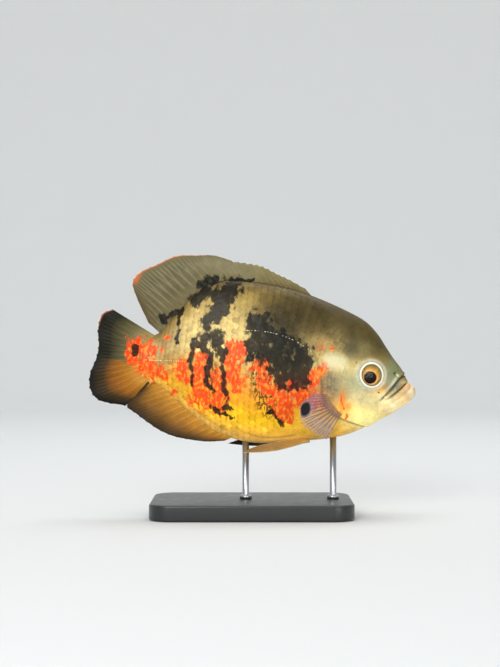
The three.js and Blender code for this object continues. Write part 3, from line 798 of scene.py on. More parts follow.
def fine_relief_group():
    """Height of fine relief: a coarse and a fine noise added together."""
    tree, build, given, result = new_group("Fine Relief", [
        ("Vector", VECTOR, None), ("Coarse Size", NUMBER, 3.0), ("Fine Size", NUMBER, 0.7),
        ("Fine Share", NUMBER, 0.5),
    ], [("Height", NUMBER)])
    coarse = build.noise(given["Vector"], build.math("DIVIDE", 1000.0, given["Coarse Size"]))
    fine = build.noise(given["Vector"], build.math("DIVIDE", 1000.0, given["Fine Size"]))
    fine = build.math("MULTIPLY", fine, given["Fine Share"])
    build.feed(result["Height"], build.math("ADD", coarse, fine))
    return tree


def node_group(name, build):
    """The named group, built the first time that it is asked for."""
    return bpy.data.node_groups.get(name) or build()


def start_material(name, **sockets):
    """A material with one Principled BSDF, and constant values set on that shader's own sockets."""
    made = bpy.data.materials.new(name)
    made.use_nodes = True
    build = Tree(made.node_tree)
    shader = made.node_tree.nodes["Principled BSDF"]
    for label, value in sockets.items():
        shader.inputs[label.replace("_", " ")].default_value = value
    place = build.node("ShaderNodeTexCoord").outputs["Object"]
    return made, build, shader, place


def attribute(build, name):
    """The node of one of the mesh's point colours."""
    return build.node("ShaderNodeAttribute", attribute_name=name, attribute_type="GEOMETRY")


def mottled(build, place, shade, patch_size, amount):
    """A colour with patches that are lighter and darker."""
    group = node_group("Mottle", mottle_group)
    return build.group(group, Vector=place, Color=shade, Patch_Size=patch_size, Amount=amount)


def roughen(build, shader, noise, least, spread):
    """Roughness from a least value up, by a noise."""
    above = build.math("MULTIPLY", noise, spread)
    build.feed(shader.inputs["Roughness"], build.math("ADD", least, above))


def relief(build, shader, place, strength, distance, **sizes):
    """Fine relief on a shader's normal."""
    made = build.node("ShaderNodeBump")
    made.inputs["Strength"].default_value = strength
    made.inputs["Distance"].default_value = distance
    group = node_group("Fine Relief", fine_relief_group)
    build.feed(made.inputs["Height"], build.group(group, Vector=place, **sizes))
    build.feed(shader.inputs["Normal"], made.outputs["Normal"])


def painted(build, ground, shade, strength, **mask):
    """A shade laid over the ground through a ragged mask."""
    patch = build.group(node_group("Ragged Mask", ragged_mask_group), **mask)
    return build.mix(build.math("MULTIPLY", patch, strength), ground, shade)


def marked_colour(build, place, look, calm=1.0):
    """The tint of a piece with its grain, orange, black and pale marks painted over it in turn.

    Its patterns are drawn out upwards, as on the fish, and calm is the share of its mottling.
    """
    marking = attribute(build, "marks")
    fields = build.node("ShaderNodeSeparateColor")
    build.feed(fields.inputs[0], marking.outputs["Color"])
    black, orange, pale = fields.outputs
    deep_black = (*look.black, 1)
    ground = mottled(build, place, attribute(build, "tint").outputs["Color"], 9.0, 0.42 * calm)
    ground = mottled(build, place, ground, 1.6, 0.22 * calm)

    upright = build.stretched(place, (1.0, 1.0, 0.55))
    flecks = build.ramp(build.noise(upright, 560.0, detail=4.0, roughness=0.6), 0.47, 0.53)
    grain = build.math("MULTIPLY", flecks, build.ramp(marking.outputs["Alpha"], 0.5, 0.8))
    ground = build.mix(build.math("MULTIPLY", grain, 0.85), ground, deep_black)

    heat = build.ramp(build.noise(upright, 520.0, detail=3.0), 0.45, 0.7)
    hot = build.mix(heat, (*look.orange, 1), (*look.orange_light, 1))
    ground = painted(build, ground, hot, 0.94, Vector=upright, Field=orange, Patch_Size=3.4,
                     Raggedness=1.9, Softness=0.12)

    # The spots reach past 1 in the black field, and have no worn places
    worn = build.math("SUBTRACT", 1.0, build.ramp(black, 1.05, 1.3))
    soot = build.ramp(build.noise(upright, 240.0, detail=4.0), 0.46, 0.8)
    soot = build.mix(build.math("MULTIPLY", soot, worn), deep_black, (*look.black_light, 1))
    ground = painted(build, ground, soot, 0.95, Vector=upright, Field=black, Patch_Size=3.6,
                     Raggedness=1.6, Softness=0.14)
    return painted(build, ground, (*look.pale, 1), 0.8, Vector=place, Field=pale, Patch_Size=6.0,
                   Raggedness=0.4, Softness=0.4)


def skin_material(look):
    """Wet skin with its markings, a faint coat and fine relief."""
    made, build, shader, place = start_material(
        "wet_scaled_skin", Subsurface_Weight=0.04, Subsurface_Scale=0.0015, Coat_Weight=0.04,
        Coat_Roughness=0.12, Specular_IOR_Level=0.17)
    build.feed(shader.inputs["Base Color"], marked_colour(build, place, look))
    roughen(build, shader, build.noise(place, 260.0), 0.33, 0.2)
    relief(build, shader, place, 0.35, 0.0003, Coarse_Size=2.6, Fine_Size=0.8, Fine_Share=0.5)
    return made


def fin_material(look):
    """Thin wet membrane, clear where the tint's alpha is low."""
    made, build, shader, place = start_material(
        "wet_fin_membrane", Subsurface_Weight=0.05, Subsurface_Scale=0.001, Coat_Weight=0.02,
        Coat_Roughness=0.25, Specular_IOR_Level=0.12)
    build.feed(shader.inputs["Base Color"], marked_colour(build, place, look, calm=0.7))
    build.feed(shader.inputs["Alpha"], attribute(build, "tint").outputs["Alpha"])
    roughen(build, shader, build.noise(place, 300.0), 0.4, 0.2)
    relief(build, shader, place, 0.3, 0.0002, Coarse_Size=1.6, Fine_Size=0.5, Fine_Share=0.6)
    return made


def pore_material(look):
    """Pale horn of the lateral line's tubes."""
    made, build, shader, place = start_material("pale_pore_tubes", Specular_IOR_Level=0.4)
    build.feed(shader.inputs["Base Color"], mottled(build, place, (*look.pale, 1), 3.0, 0.5))
    roughen(build, shader, build.noise(place, 500.0), 0.35, 0.2)
    return made


def eye_material():
    """Matt paint of the eyeball; the gloss is the cornea's."""
    made, build, shader, place = start_material("painted_eye", Specular_IOR_Level=0.02)
    build.feed(shader.inputs["Base Color"],
               mottled(build, place, attribute(build, "tint").outputs["Color"], 0.8, 0.16))
    roughen(build, shader, build.noise(place, 900.0), 0.45, 0.2)
    return made


def cornea_material():
    """Clear and smooth, with little bending of light."""
    return start_material("clear_cornea", Roughness=0.0, IOR=1.2, Transmission_Weight=1.0,
                          Base_Color=(1.0, 1.0, 1.0, 1.0))[0]


def base_material(look):
    """Satin black plastic with a fine grain."""
    made, build, shader, place = start_material("satin_black_base", Coat_Weight=0.25, Coat_Roughness=0.2)
    build.feed(shader.inputs["Base Color"], mottled(build, place, (*look.base, 1), 9.0, 0.2))
    roughen(build, shader, build.noise(place, 140.0), 0.3, 0.18)
    relief(build, shader, place, 0.12, 0.0002, Coarse_Size=1.2, Fine_Size=0.4, Fine_Share=0.6)
    return made


def rod_material(look):
    """Steel brushed along the rod: noise drawn out upwards."""
    made, build, shader, place = start_material("brushed_steel_rod", Metallic=1.0)
    streaks = build.noise(build.stretched(place, (1.0, 1.0, 0.03)), 2600.0, detail=2.0)
    build.feed(shader.inputs["Base Color"], mottled(build, place, (*look.steel, 1), 4.0, 0.1))
    roughen(build, shader, streaks, 0.2, 0.22)
    return made


def stage_material(look):
    """Matt pale paper."""
    return start_material("studio_paper", Roughness=0.9, Base_Color=(*look.paper, 1))[0]


# Settings

def shade_property(name, text, description):
    """A colour setting whose default is a hex colour."""
    return FloatVectorProperty(
        name=name, description=description, size=3, subtype="COLOR", min=0, max=1,
        default=tuple(float(v) for v in colour(text)))


class OscarLook(bpy.types.PropertyGroup):
    """Colours of the fish, its stand and the studio."""

    black: shade_property("Black", "#0c0b07", "Colour of the dark bars and blotches")
    black_light: shade_property("Light black", "#322e1c", "Worn parts of the dark bars")
    orange: shade_property("Orange", "#ec3f0c", "Colour of the red-orange patches")
    orange_light: shade_property("Light orange", "#fb9c30", "Lighter parts of the orange patches")
    pale: shade_property("Pale", "#e6dcae", "Cheek blotch and lateral line")
    base: shade_property("Base", "#1b1c1e", "Colour of the stand's base")
    steel: shade_property("Steel", "#b9bbbd", "Colour of the stand's rods")
    paper: shade_property("Paper", "#d2d3d2", "Colour of the floor and backdrop")


class OscarSizes(bpy.types.PropertyGroup):
    """Sizes of the fine detail."""

    skin_rows: IntProperty(
        name="Skin rows", description="Steps from mouth to tail", default=400, min=40)
    skin_columns: IntProperty(
        name="Skin columns", description="Steps round the body", default=240, min=24)
    scale_step: FloatProperty(
        name="Scale step", description="Distance between rows of scales on the flank",
        default=0.0043, min=0.001, unit="LENGTH")
    scale_lift: FloatProperty(
        name="Scale lift", description="Height of a scale's free edge over the skin",
        default=0.00034, min=0.0, unit="LENGTH")


def power_property(name, default, description):
    """A light's power."""
    return FloatProperty(name=name, description=description, default=default, min=0, unit="POWER")


class OscarStage(bpy.types.PropertyGroup):
    """Camera and lights."""

    distance: FloatProperty(
        name="Camera distance", description="From the lens to the fish's midplane",
        default=1.2, min=0.3, unit="LENGTH")
    view_height: FloatProperty(
        name="View height", description="Height of the fish's plane that fills the picture",
        default=0.50025, min=0.1, unit="LENGTH")
    aim_x: FloatProperty(
        name="Aim X", description="Middle of the picture, along the fish", default=-0.0013,
        unit="LENGTH")
    aim_z: FloatProperty(
        name="Aim Z", description="Middle of the picture, upwards", default=0.1359, unit="LENGTH")
    key_power: power_property("Key light", 17.5, "Power of the main light")
    fill_power: power_property("Fill light", 11, "Power of the soft light")
    back_power: power_property("Back light", 3, "Power of the rim light")
    paper_power: power_property("Paper light", 30, "Power of the light over the backdrop")


# Pieces

LEFT_AND_RIGHT = (("left", 1), ("right", -1))  # with the sign of y


class OSCAR_OT_skin(bpy.types.Operator):
    """One skin over the whole body, from the lips to the tail's edge"""

    bl_idname = "oscar.skin"
    bl_label = "Skin"

    def execute(self, context):
        sizes, look = context.scene.oscar_sizes, context.scene.oscar_look
        along = np.linspace(0, 1, sizes.skin_rows)
        around = np.linspace(0, 2 * math.pi, sizes.skin_columns + 1)
        t, angle = np.meshgrid(along, around, indexing="ij")
        points, _ = skin_point(t, angle)
        # One more row, on the midplane, closes the end at the tail
        points = np.concatenate([points, points[-1:] * (1, 0, 1)])
        t, angle = (np.concatenate([values, values[-1:]]) for values in (t, angle))
        bare = body(t, angle)
        new_piece(
            "fish_skin", placed(points), grid_quads(*t.shape), skin_material(look),
            replaces=("head", "gill_cover_left", "gill_cover_right", "upper_jaw", "lower_jaw", "torso",
                      "tail_stalk"),
            tint=ground_tint(t, bare), marking=marks(bare[..., 0], bare[..., 2]),
            uv=np.stack([angle / (2 * math.pi), t], -1), merge=2e-6)
        return {"FINISHED"}


def scale_rows(step):
    """Middles of the scales on the left side, row by row towards the tail: t, angle and size.

    Rows stand one scale apart, and scales are smaller towards the tail and on the head. A row runs
    from the middle of the side up and down, and every other row is moved by half a scale.
    """
    t = np.linspace(0.25, 1, 1500)
    x = body(t, np.zeros(t.shape))[:, 0]
    size = step * (0.62 + 0.38 * smooth(-84, -40, x)) * (1 - 0.38 * smooth(38, 58, x))
    travelled = np.concatenate([[0], np.cumsum(np.abs(np.diff(x)) / size[1:])])
    found = []
    for row in range(int(travelled[-1])):
        row_t = np.interp(row, travelled, t)
        row_size = np.interp(row, travelled, size)
        across = row_size * 0.98
        for sign in (1, -1):
            angle = np.linspace(0, sign * math.pi / 2, 200)
            loop = body(np.full(200, row_t), angle)
            girth = np.concatenate([[0], np.cumsum(np.linalg.norm(np.diff(loop, axis=0), axis=1))])
            first = (0.5 if row % 2 else (0 if sign > 0 else 1)) * across
            places = np.arange(first, girth[-1] - 0.55 * across, across)
            found.append(np.stack(np.broadcast_arrays(row_t, np.interp(places, girth, angle), row_size)))
    return np.concatenate(found, axis=1)


def scaled(x, z):
    """Whether scales grow at a side-view place: not on the snout, jaws, throat or round the eye."""
    gill_gap, _, _ = to_line(GILL_EDGE, x, z)
    fold_gap, _, _ = to_line(PREOPERCLE, x, z)
    eye_gap = np.hypot(x - EYE["x"], z - EYE["z"])
    cheek_end = 73 - 0.016 * (z - 12) ** 2
    throat = (z <= -27) & (x >= 60)
    return (gill_gap > 1.6) & (fold_gap > 1.2) & (eye_gap > 15) & (x < cheek_end) & ~throat


class OSCAR_OT_scales(bpy.types.Operator):
    """Scales on both flanks, the nape and the cheeks, as thin closed plates that overlap"""

    bl_idname = "oscar.scales"
    bl_label = "Scales"

    def execute(self, context):
        sizes = context.scene.oscar_sizes
        step, lift = sizes.scale_step / MM, sizes.scale_lift / MM
        t0, a0, size = scale_rows(step)
        middle = body(t0, a0)
        keep = scaled(middle[:, 0], middle[:, 2]) & (np.abs(a0) < np.where(middle[:, 0] < 34, 1.43, 1.3))
        t0, a0, size, middle = t0[keep], a0[keep], size[keep], middle[keep]
        count = len(t0)
        draw = np.random.default_rng(11)

        # One scale: a disc from a square grid, free edge at a = 1, turned a little
        side = np.linspace(-1, 1, SCALE_GRID)
        square_a, square_b = np.meshgrid(side, side, indexing="ij")
        a = (square_a * np.sqrt(1 - square_b ** 2 / 2)).ravel()
        b = (square_b * np.sqrt(1 - square_a ** 2 / 2)).ravel()
        inner = (np.maximum(np.abs(square_a), np.abs(square_b)) < 0.9).ravel()
        turn = draw.normal(0, 0.05, count)[:, None]
        along = a * np.cos(turn) - b * np.sin(turn)
        across = a * np.sin(turn) + b * np.cos(turn)

        # Its points on the body, by how far the surface runs there with t and with angle
        small = 1e-3
        run_t = np.linalg.norm(body(t0 + small, a0) - body(t0 - small, a0), axis=1) / (2 * small)
        run_a = np.linalg.norm(body(t0, a0 + small) - body(t0, a0 - small), axis=1) / (2 * small)
        reach = size[:, None] * 0.95
        t = np.clip(t0[:, None] + along * reach / run_t[:, None], 0.02, 1)
        angle = a0[:, None] + across * reach * 0.62 / run_a[:, None]

        # Lifted at the free edge and domed, less where scales are small or on the head
        fine = size[:, None] / step
        faint = 1 - 0.75 * smooth(46, 66, middle[:, 0])[:, None]
        height = lift * fine * faint * draw.uniform(0.8, 1.2, count)[:, None]
        rise = height * (0.05 + 1.05 * a) + 0.1 * fine * faint * (1 - b ** 2) * inner
        surface, normal = skin_point(t, angle)
        top = surface + normal * rise[..., None]
        under = surface + normal * (rise - 0.2 * fine * inner)[..., None]
        points = np.concatenate([top, under], 1)

        # The skin's colours, changed from scale to scale, and painted shade towards each free edge
        bare = body(t, angle)
        tint = ground_tint(t, bare)
        tint *= (1 + draw.normal(0, 0.1, count))[:, None, None]
        # Painted shade: darker towards the free edge, where the scale steps over the next
        tint *= (1 - 0.3 * smooth(0.5, 1.0, a))[None, :, None]
        marking = marks(bare[..., 0], bare[..., 2])
        for channel, change in ((0, 0.1), (1, 0.13)):
            marked = smooth(0.1, 0.4, marking[..., channel])
            marking[..., channel] += draw.normal(0, change, count)[:, None] * marked
        tint, marking = (np.concatenate([values, values], 1) for values in (tint, marking))

        # A small patch of the skin's map at the scale's root, mirrored for the right side
        root = np.stack([a0 / (2 * math.pi) % 1, t0], -1)[:, None, :]
        uv = root + 0.0015 * np.stack([np.tile(b, 2), np.tile(a, 2)], -1)[None]
        right_uv = np.stack([(0.5 - uv[..., 0]) % 1, uv[..., 1]], -1)

        front = grid_quads(SCALE_GRID, SCALE_GRID)
        back = grid_quads(SCALE_GRID, SCALE_GRID, SCALE_GRID ** 2)[:, ::-1]
        quads = repeated(np.concatenate([front, back]), 2 * SCALE_GRID ** 2, count)
        material = bpy.data.materials["wet_scaled_skin"]
        for word, sign in LEFT_AND_RIGHT:
            new_piece("scales_" + word, placed(points * (1, sign, 1)), quads[:, ::sign], material,
                      tint=tint, marking=marking, uv=uv if sign > 0 else right_uv, sharp=60)
        return {"FINISHED"}


class OSCAR_OT_lateral_line(bpy.types.Operator):
    """The pale raised tubes of the lateral line's scales, in its two parts"""

    bl_idname = "oscar.lateral_line"
    bl_label = "Lateral line"

    def execute(self, context):
        pale = pore_material(context.scene.oscar_look)
        draw = np.random.default_rng(5)
        places = np.concatenate([
            through(line, (np.arange(count) + 0.5) / count)
            for line, count in ((LATERAL_UPPER, 26), (LATERAL_LOWER, 22))])
        # One scale in five has no tube
        places = places[draw.random(len(places)) > 0.2] + draw.normal(0, 0.25, (1, 2))
        t0, a0 = np.array([find_on_side(x, z) for x, z in places]).T
        centre, normal = skin_point(t0, a0)
        ahead = unit(body(t0 - 0.004, a0) - body(t0 + 0.004, a0))
        across = np.cross(normal, ahead)

        # A tube is an oval: long along the fish, narrow across it, half sunk in the skin
        long = draw.uniform(0.35, 0.95, len(places))[:, None, None]
        wide = draw.uniform(0.18, 0.36, len(places))[:, None, None]
        rows, columns = TUBE_GRID
        polar, turn = np.meshgrid(
            np.linspace(0, math.pi, rows), np.linspace(0, 2 * math.pi, columns), indexing="ij")
        points = centre[:, None, None] + (
            ahead[:, None, None] * (long * np.cos(polar))[..., None]
            + across[:, None, None] * (wide * np.sin(polar) * np.cos(turn))[..., None]
            + normal[:, None, None] * (0.12 + 0.2 * np.sin(polar) * np.sin(turn))[..., None])
        quads = repeated(grid_quads(rows, columns), rows * columns, len(places))
        for word, side in LEFT_AND_RIGHT:
            new_piece("lateral_line_" + word, placed(points * (1, side, 1)), quads[:, ::side], pale)
        return {"FINISHED"}


def eye_points(own, side):
    """Places of points given from the eye's middle: ahead, up and out of the head."""
    t, angle = (np.array(value) for value in find_on_side(EYE["x"], EYE["z"]))
    out = body_normal(t, angle)
    ahead = unit(np.array([1.0, 0, 0]) - out * out[0])
    up = np.cross(ahead, out)
    up = up if up[2] > 0 else -up
    points = body(t, angle) + ahead * own[..., :1] + up * own[..., 1:2] + out * own[..., 2:]
    return placed(points * (1, side, 1))


class OSCAR_OT_eyes(bpy.types.Operator):
    """Eyes with a pale ring, a gold iris sunk round the pupil, and a clear cornea"""

    bl_idname = "oscar.eyes"
    bl_label = "Eyes"

    def execute(self, context):
        painted, clear = eye_material(), cornea_material()
        for word, side in LEFT_AND_RIGHT:
            self.ball(word, side, painted)
            self.cornea(word, side, clear)
        return {"FINISHED"}

    def ball(self, word, side, material):
        """The profile turned round, its front slid and flattened towards the pupil."""
        profile = through(EYE_PROFILE, np.linspace(0, 1, EYE_ROWS))
        radius = np.maximum(profile[:, 0], 0)
        radius[0] = radius[-1] = 0
        own = turned(radius, profile[:, 1], EYE_STEPS)
        turn = np.linspace(0, 2 * math.pi, EYE_STEPS)
        radius = radius[:, None]
        front = (np.arange(EYE_ROWS) < EYE_FRONT_ROWS)[:, None]
        slide = np.where(front, 1 - smooth(PUPIL["radius"], 8.1, radius), 0)
        own[..., 0] += PUPIL["x"] * slide
        own[..., 1] = own[..., 1] * (1 - 0.09 * slide) + PUPIL["z"] * slide

        draw = np.random.default_rng(3)
        spokes = np.interp(turn, np.linspace(0, 2 * math.pi, 61), np.r_[draw.normal(0, 1, 60), 0])
        iris = smooth(5.0, 5.4, radius) * (1 - smooth(7.6, 8, radius))
        tint = blend_stops(radius, EYE_SHADES) * (1 + 0.1 * iris * spokes)[..., None]
        dark_side = 0.25 * iris * np.clip(-np.cos(turn - 0.5), 0, 1)
        tint = np.clip(tint * (1 - dark_side)[..., None], 0, 1)
        new_piece("eyeball_" + word, eye_points(own, side), grid_quads(EYE_ROWS, EYE_STEPS), material,
                  replaces=("eye_" + word,), tint=tint, merge=1e-6)

    def cornea(self, word, side, material):
        """A thin clear cap: an outer dome and an inner one, joined at the rim."""
        share = np.concatenate([np.linspace(0, 1, CORNEA_ROWS), np.linspace(1, 0, CORNEA_ROWS)])
        bulge = np.repeat(CORNEA_BULGES, CORNEA_ROWS)
        height = 0.75 + bulge * np.sqrt(np.maximum(1 - share ** 2, 0))
        own = turned(share * CORNEA_RIM, height, 65)
        new_piece("cornea_" + word, eye_points(own, side), grid_quads(*own.shape[:2]), material,
                  merge=1e-6)


def rays_of(fin, s, v):
    """Height of the rays, 0 to 1: ridges at even steps of s that fork twice towards the tips."""
    phase = s * (fin["rays"] - 1)
    nearest = phase - np.round(phase)
    if fin.get("spines"):
        return bump(nearest, 0.13)
    first = 0.25 * smooth(0.32, 0.8, v)
    second = 0.115 * smooth(0.62, 1.0, v)
    width = 0.14 - 0.07 * smooth(0.3, 0.9, v)
    ridge = np.zeros(s.shape)
    for one in (-1, 1):
        for two in (-1, 1):
            for wrap in (-1, 0, 1):
                ridge = np.maximum(ridge, bump(nearest - wrap - one * first - two * second, width))
    return ridge


def fin_sheet(fin, root_at, tip_at, normal):
    """Front and back of a fin: straight lines from roots to tips, swayed, rippled and ridged.

    s runs along the fin and v from the body to the edge. Its edge dips between the rays, more
    between spines. The ripple dies out towards the first and the last ray. The half thickness is
    the membrane's, plus the rays', plus a fleshy swelling at the root. Returns s, the share of the
    way out, the rays' height, the middle plane and both faces.
    """
    columns = (fin["rays"] - 1) * fin["per_ray"] + 1
    s, v = np.meshgrid(np.linspace(0, 1, columns), np.linspace(0, 1, fin["rows"]))
    v = v ** 0.92
    root, tip = root_at(s), tip_at(s)
    length = np.linalg.norm(tip - root, axis=-1)
    phase = s * (fin["rays"] - 1)
    if fin.get("spines"):
        between = phase - np.floor(phase)
        dip = between ** 0.75 * (1 - smooth(0.9, 1.0, between)) * (1.4 - 0.9 * s)
    else:
        dip = np.abs(np.sin(phase * math.pi)) + 0.5 * np.abs(np.sin(phase * 2 * math.pi))
    sunk = -FIN_SINK / length
    reach = sunk + (1 - fin["notch"] * dip - sunk) * v
    out = np.clip(reach, 0, 1)
    sway = fin["sway"] * out ** 2 * (1 - 0.4 * np.cos(2 * math.pi * s))
    calm = np.clip(10 * s, 0, 1) * np.clip(10 * (1 - s), 0, 1)
    ripple = fin["ripple"] * calm * out * np.sin(phase * 1.7 + 2.2 * out)
    middle = root + (tip - root) * reach[..., None] + normal * (sway + ripple)[..., None]
    middle[..., 2] -= fin.get("bow", 0) * (1 - s) * np.sin(math.pi * out)
    ridge = rays_of(fin, s, out)
    near, far = fin["thick"]
    tall = near + (far - near) * out - fin["membrane"]
    flesh = 1.1 * np.exp(-np.maximum(reach, 0) * length / 2.6)
    edge = 1 - 0.75 * smooth(0.93, 1.0, v)
    half = (fin["membrane"] + np.maximum(tall, 0.03) * ridge) * edge + flesh
    offset = normal * half[..., None]
    return s, out, ridge, middle, np.stack([middle + offset, middle - offset])


def build_fin(name, sheet, tint, look, marked=True, opacity=None):
    """The mesh piece of a fin, its front and back alike. The body's marks run on into its root."""
    _, out, _, middle, surfaces = sheet
    fade = 1 - smooth(0.34, 0.48, out) if marked else np.zeros(out.shape)
    marking = marks(middle[..., 0], middle[..., 2]) * fade[..., None]
    opacity = np.ones(out.shape) if opacity is None else opacity
    shades = np.concatenate([np.clip(tint, 0, 1), opacity[..., None]], -1)
    material = bpy.data.materials.get("wet_fin_membrane") or fin_material(look)
    new_piece(name + "_web", placed(surfaces), plate_quads(*out.shape), material,
              replaces=(name,), tint=np.stack([shades, shades]), marking=np.stack([marking, marking]),
              sharp=70)


def edge_roots(fin):
    """Roots of a midline fin: the body's top or bottom edge at the fin's root x."""
    edge = through(fin["edge"], np.linspace(0.2, 1, 2000))
    root_x = np.array([[x, 0] for x in fin["root_x"]], float)

    def place(s):
        x = through(root_x, s)[..., 0]
        z = np.interp(x, edge[::-1, 0], edge[::-1, 1])
        return np.stack([x, np.zeros(x.shape), z], -1)

    return place


def on_midplane(points):
    """Places on the midplane, along side-view points."""
    def place(s):
        at = through(points, s)
        return np.stack([at[..., 0], np.zeros(s.shape), at[..., 1]], -1)

    return place


def midline_sheet(fin):
    """A fin sheet on the midplane, from the body's edge or from roots of its own."""
    root_at = edge_roots(fin) if "edge" in fin else on_midplane(fin["roots"])
    return fin_sheet(fin, root_at, on_midplane(fin["tips"]), np.array([0.0, 1.0, 0.0]))


class OSCAR_OT_midline_fins(bpy.types.Operator):
    """Dorsal, anal and tail fins"""

    bl_idname = "oscar.midline_fins"
    bl_label = "Midline fins"

    def execute(self, context):
        look = context.scene.oscar_look
        self.spiny_dorsal(look)
        self.soft_dorsal(look)
        self.anal(look)
        self.tail(look)
        return {"FINISHED"}

    def spiny_dorsal(self, look):
        """Olive, with paler spines."""
        sheet = midline_sheet(SPINY_DORSAL)
        s, out, ridge, _, _ = sheet
        tint = blend_stops(out, [(0, "#665a35"), (0.3, "#786c44"), (0.8, "#837850"), (1, "#978a60")])
        tint = toward(tint, "#a0946a", 0.5 * ridge * (1 - 0.6 * s))
        tint = toward(tint, "#7d7555", 0.85 * smooth(0.55, 1.0, s))
        build_fin("dorsal_fin_spiny", sheet, tint, look)

    def soft_dorsal(self, look):
        """Grey-olive, browner behind, with an orange rim."""
        sheet = midline_sheet(SOFT_DORSAL)
        s, out, ridge, _, _ = sheet
        tint = blend_stops(out, [(0, "#6d6040"), (0.25, "#7d7452"), (0.7, "#827a5c"), (1, "#706848")])
        tint = toward(tint, "#5a4526", 0.8 * smooth(0.66, 0.95, s) * smooth(0.1, 0.8, out))
        tint = toward(tint, "#3f351d", 0.55 * (1 - ridge) * smooth(0.1, 0.5, s) * smooth(0, 0.3, out))
        rim = smooth(0.955, 0.985, out) * smooth(0.12, 0.3, s) * (1 - smooth(0.68, 0.76, s))
        tint = toward(tint, "#e07a4a", 0.9 * rim)
        tint = toward(tint, "#e0703c", 0.8 * smooth(0.86, 0.97, out) * bump(s - 0.7, 0.05))
        build_fin("dorsal_fin_soft", sheet, tint, look)

    def anal(self, look):
        """Amber at the body, nearly black at the edge."""
        sheet = midline_sheet(ANAL)
        _, out, ridge, _, _ = sheet
        tint = blend_stops(out, [
            (0, "#d89a38"), (0.22, "#bb7f26"), (0.5, "#8f5f1c"), (0.72, "#563a12"), (0.95, "#1f1709")])
        tint = toward(tint, "#5d4420", 0.25 * (1 - ridge))
        build_fin("anal_fin", sheet, tint, look)

    def tail(self, look):
        """Olive above and amber below, dark at the edge, with a salmon rim on the upper corner."""
        sheet = midline_sheet(TAIL)
        s, out, ridge, middle, _ = sheet
        upper = blend_stops(out, [
            (0, "#a08650"), (0.25, "#7a7048"), (0.5, "#544e2e"), (0.72, "#1a1a0c"), (1, "#0b0b06")])
        lower = blend_stops(out, [
            (0, "#c59040"), (0.25, "#b4761c"), (0.5, "#965a10"), (0.72, "#3a290b"), (0.92, "#0c0b06")])
        tint = upper + (lower - upper) * smooth(-2.5, -6, middle[..., 2])[..., None]
        tint = toward(tint, "#2c2410", 0.28 * (1 - ridge) * smooth(0.1, 0.4, out))
        rim = smooth(0.95, 0.985, out) * (1 - smooth(0.16, 0.24, s))
        tint = toward(tint, "#d98a62", 0.8 * rim)
        build_fin("tail_fin", sheet, tint, look)


def paired_sheet(fin, roots, tips, side):
    """A fin sheet on one side of the body; its normal is square to its roots and its rays."""
    flip = np.array([1, side, 1])

    def root_at(s):
        return through(roots, s) * flip

    def tip_at(s):
        return through(tips, s) * flip

    ends = np.array([0.0, 0.5, 1.0])
    root, tip = root_at(ends), tip_at(ends)
    normal = unit(np.cross(root[2] - root[0], tip[1] - root[1]))
    return fin_sheet(fin, root_at, tip_at, normal)


class OSCAR_OT_paired_fins(bpy.types.Operator):
    """Pectoral and pelvic fins of both sides"""

    bl_idname = "oscar.paired_fins"
    bl_label = "Paired fins"

    def execute(self, context):
        look = context.scene.oscar_look
        for word, side in LEFT_AND_RIGHT:
            self.pectoral(word, side, look)
            self.pelvic(word, side, look)
        return {"FINISHED"}

    def pectoral(self, word, side, look):
        """Thin and clear, with brown rays and a black blot near the edge."""
        skin = [find_on_side(x, z) for x, z in PECTORAL["roots"]]
        roots = np.array([body(np.array(t), np.array(angle)) for t, angle in skin])
        reach = roots[1, 1]
        tips = [(x, reach + flare, z) for (x, z), flare in zip(PECTORAL["tips"], PECTORAL["flare"])]
        sheet = paired_sheet(PECTORAL, roots, tips, side)
        s, out, ridge, _, _ = sheet
        tint = blend_stops(out, [(0, "#c0925c"), (0.2, "#a08c94"), (0.6, "#a9a4b2"), (1, "#9c9098")])
        tint = toward(tint, "#6e3c26", 0.75 * ridge * (1 - 0.55 * smooth(0.4, 0.95, out)))
        blot = smooth(0.25, 0.6, bump(out - 0.82, 0.19) * bump(s - 0.38, 0.15))
        tint = toward(tint, "#0e0c0a", 0.97 * blot)
        tip = smooth(0.93, 0.98, out) * bump(s - 0.4, 0.2)
        tint = toward(tint, "#e3b49c", 0.8 * tip)
        thin = 1 - 0.6 * smooth(0.75, 1.0, out)
        fleshy = 1 - smooth(0, 0.25, out)
        opacity = (0.2 + 0.5 * ridge) * thin + blot + 0.6 * tip + 0.6 * fleshy
        build_fin("pectoral_fin_" + word, sheet, tint, look, marked=False,
                  opacity=np.clip(opacity, 0, 1))

    def pelvic(self, word, side, look):
        """Amber with pale edges; the left one is held further back and darkened with painted shade."""
        roots = [(x, y, z) for (x, z), y in zip(PELVIC["roots"], PELVIC["root_y"])]
        back = PELVIC["left_back"] if side > 0 else 0
        tips = [(x - back, y, z + 0.42 * back) for (x, z), y in zip(PELVIC["tips"], PELVIC["tip_y"])]
        sheet = paired_sheet(PELVIC, roots, tips, side)
        s, out, ridge, _, _ = sheet
        tint = blend_stops(out, [(0, "#e0a848"), (0.3, "#c79a50"), (0.7, "#a5804a"), (1, "#7c6238")])
        tint = toward(tint, "#7a4f24", 0.55 * (1 - ridge))
        edge = 1 - smooth(0.03, 0.1, s) + smooth(0.93, 0.99, s)
        tint = toward(tint, "#e3cc94", 0.6 * np.clip(edge, 0, 1))
        # Painted shade: the left fin, on the far side under the belly, is darkened towards its edge
        if side > 0:
            tint = toward(tint, "#17120a", 0.95 * smooth(0.35, 0.75, out))
        build_fin("pelvic_fin_" + word, sheet, tint, look, marked=False)


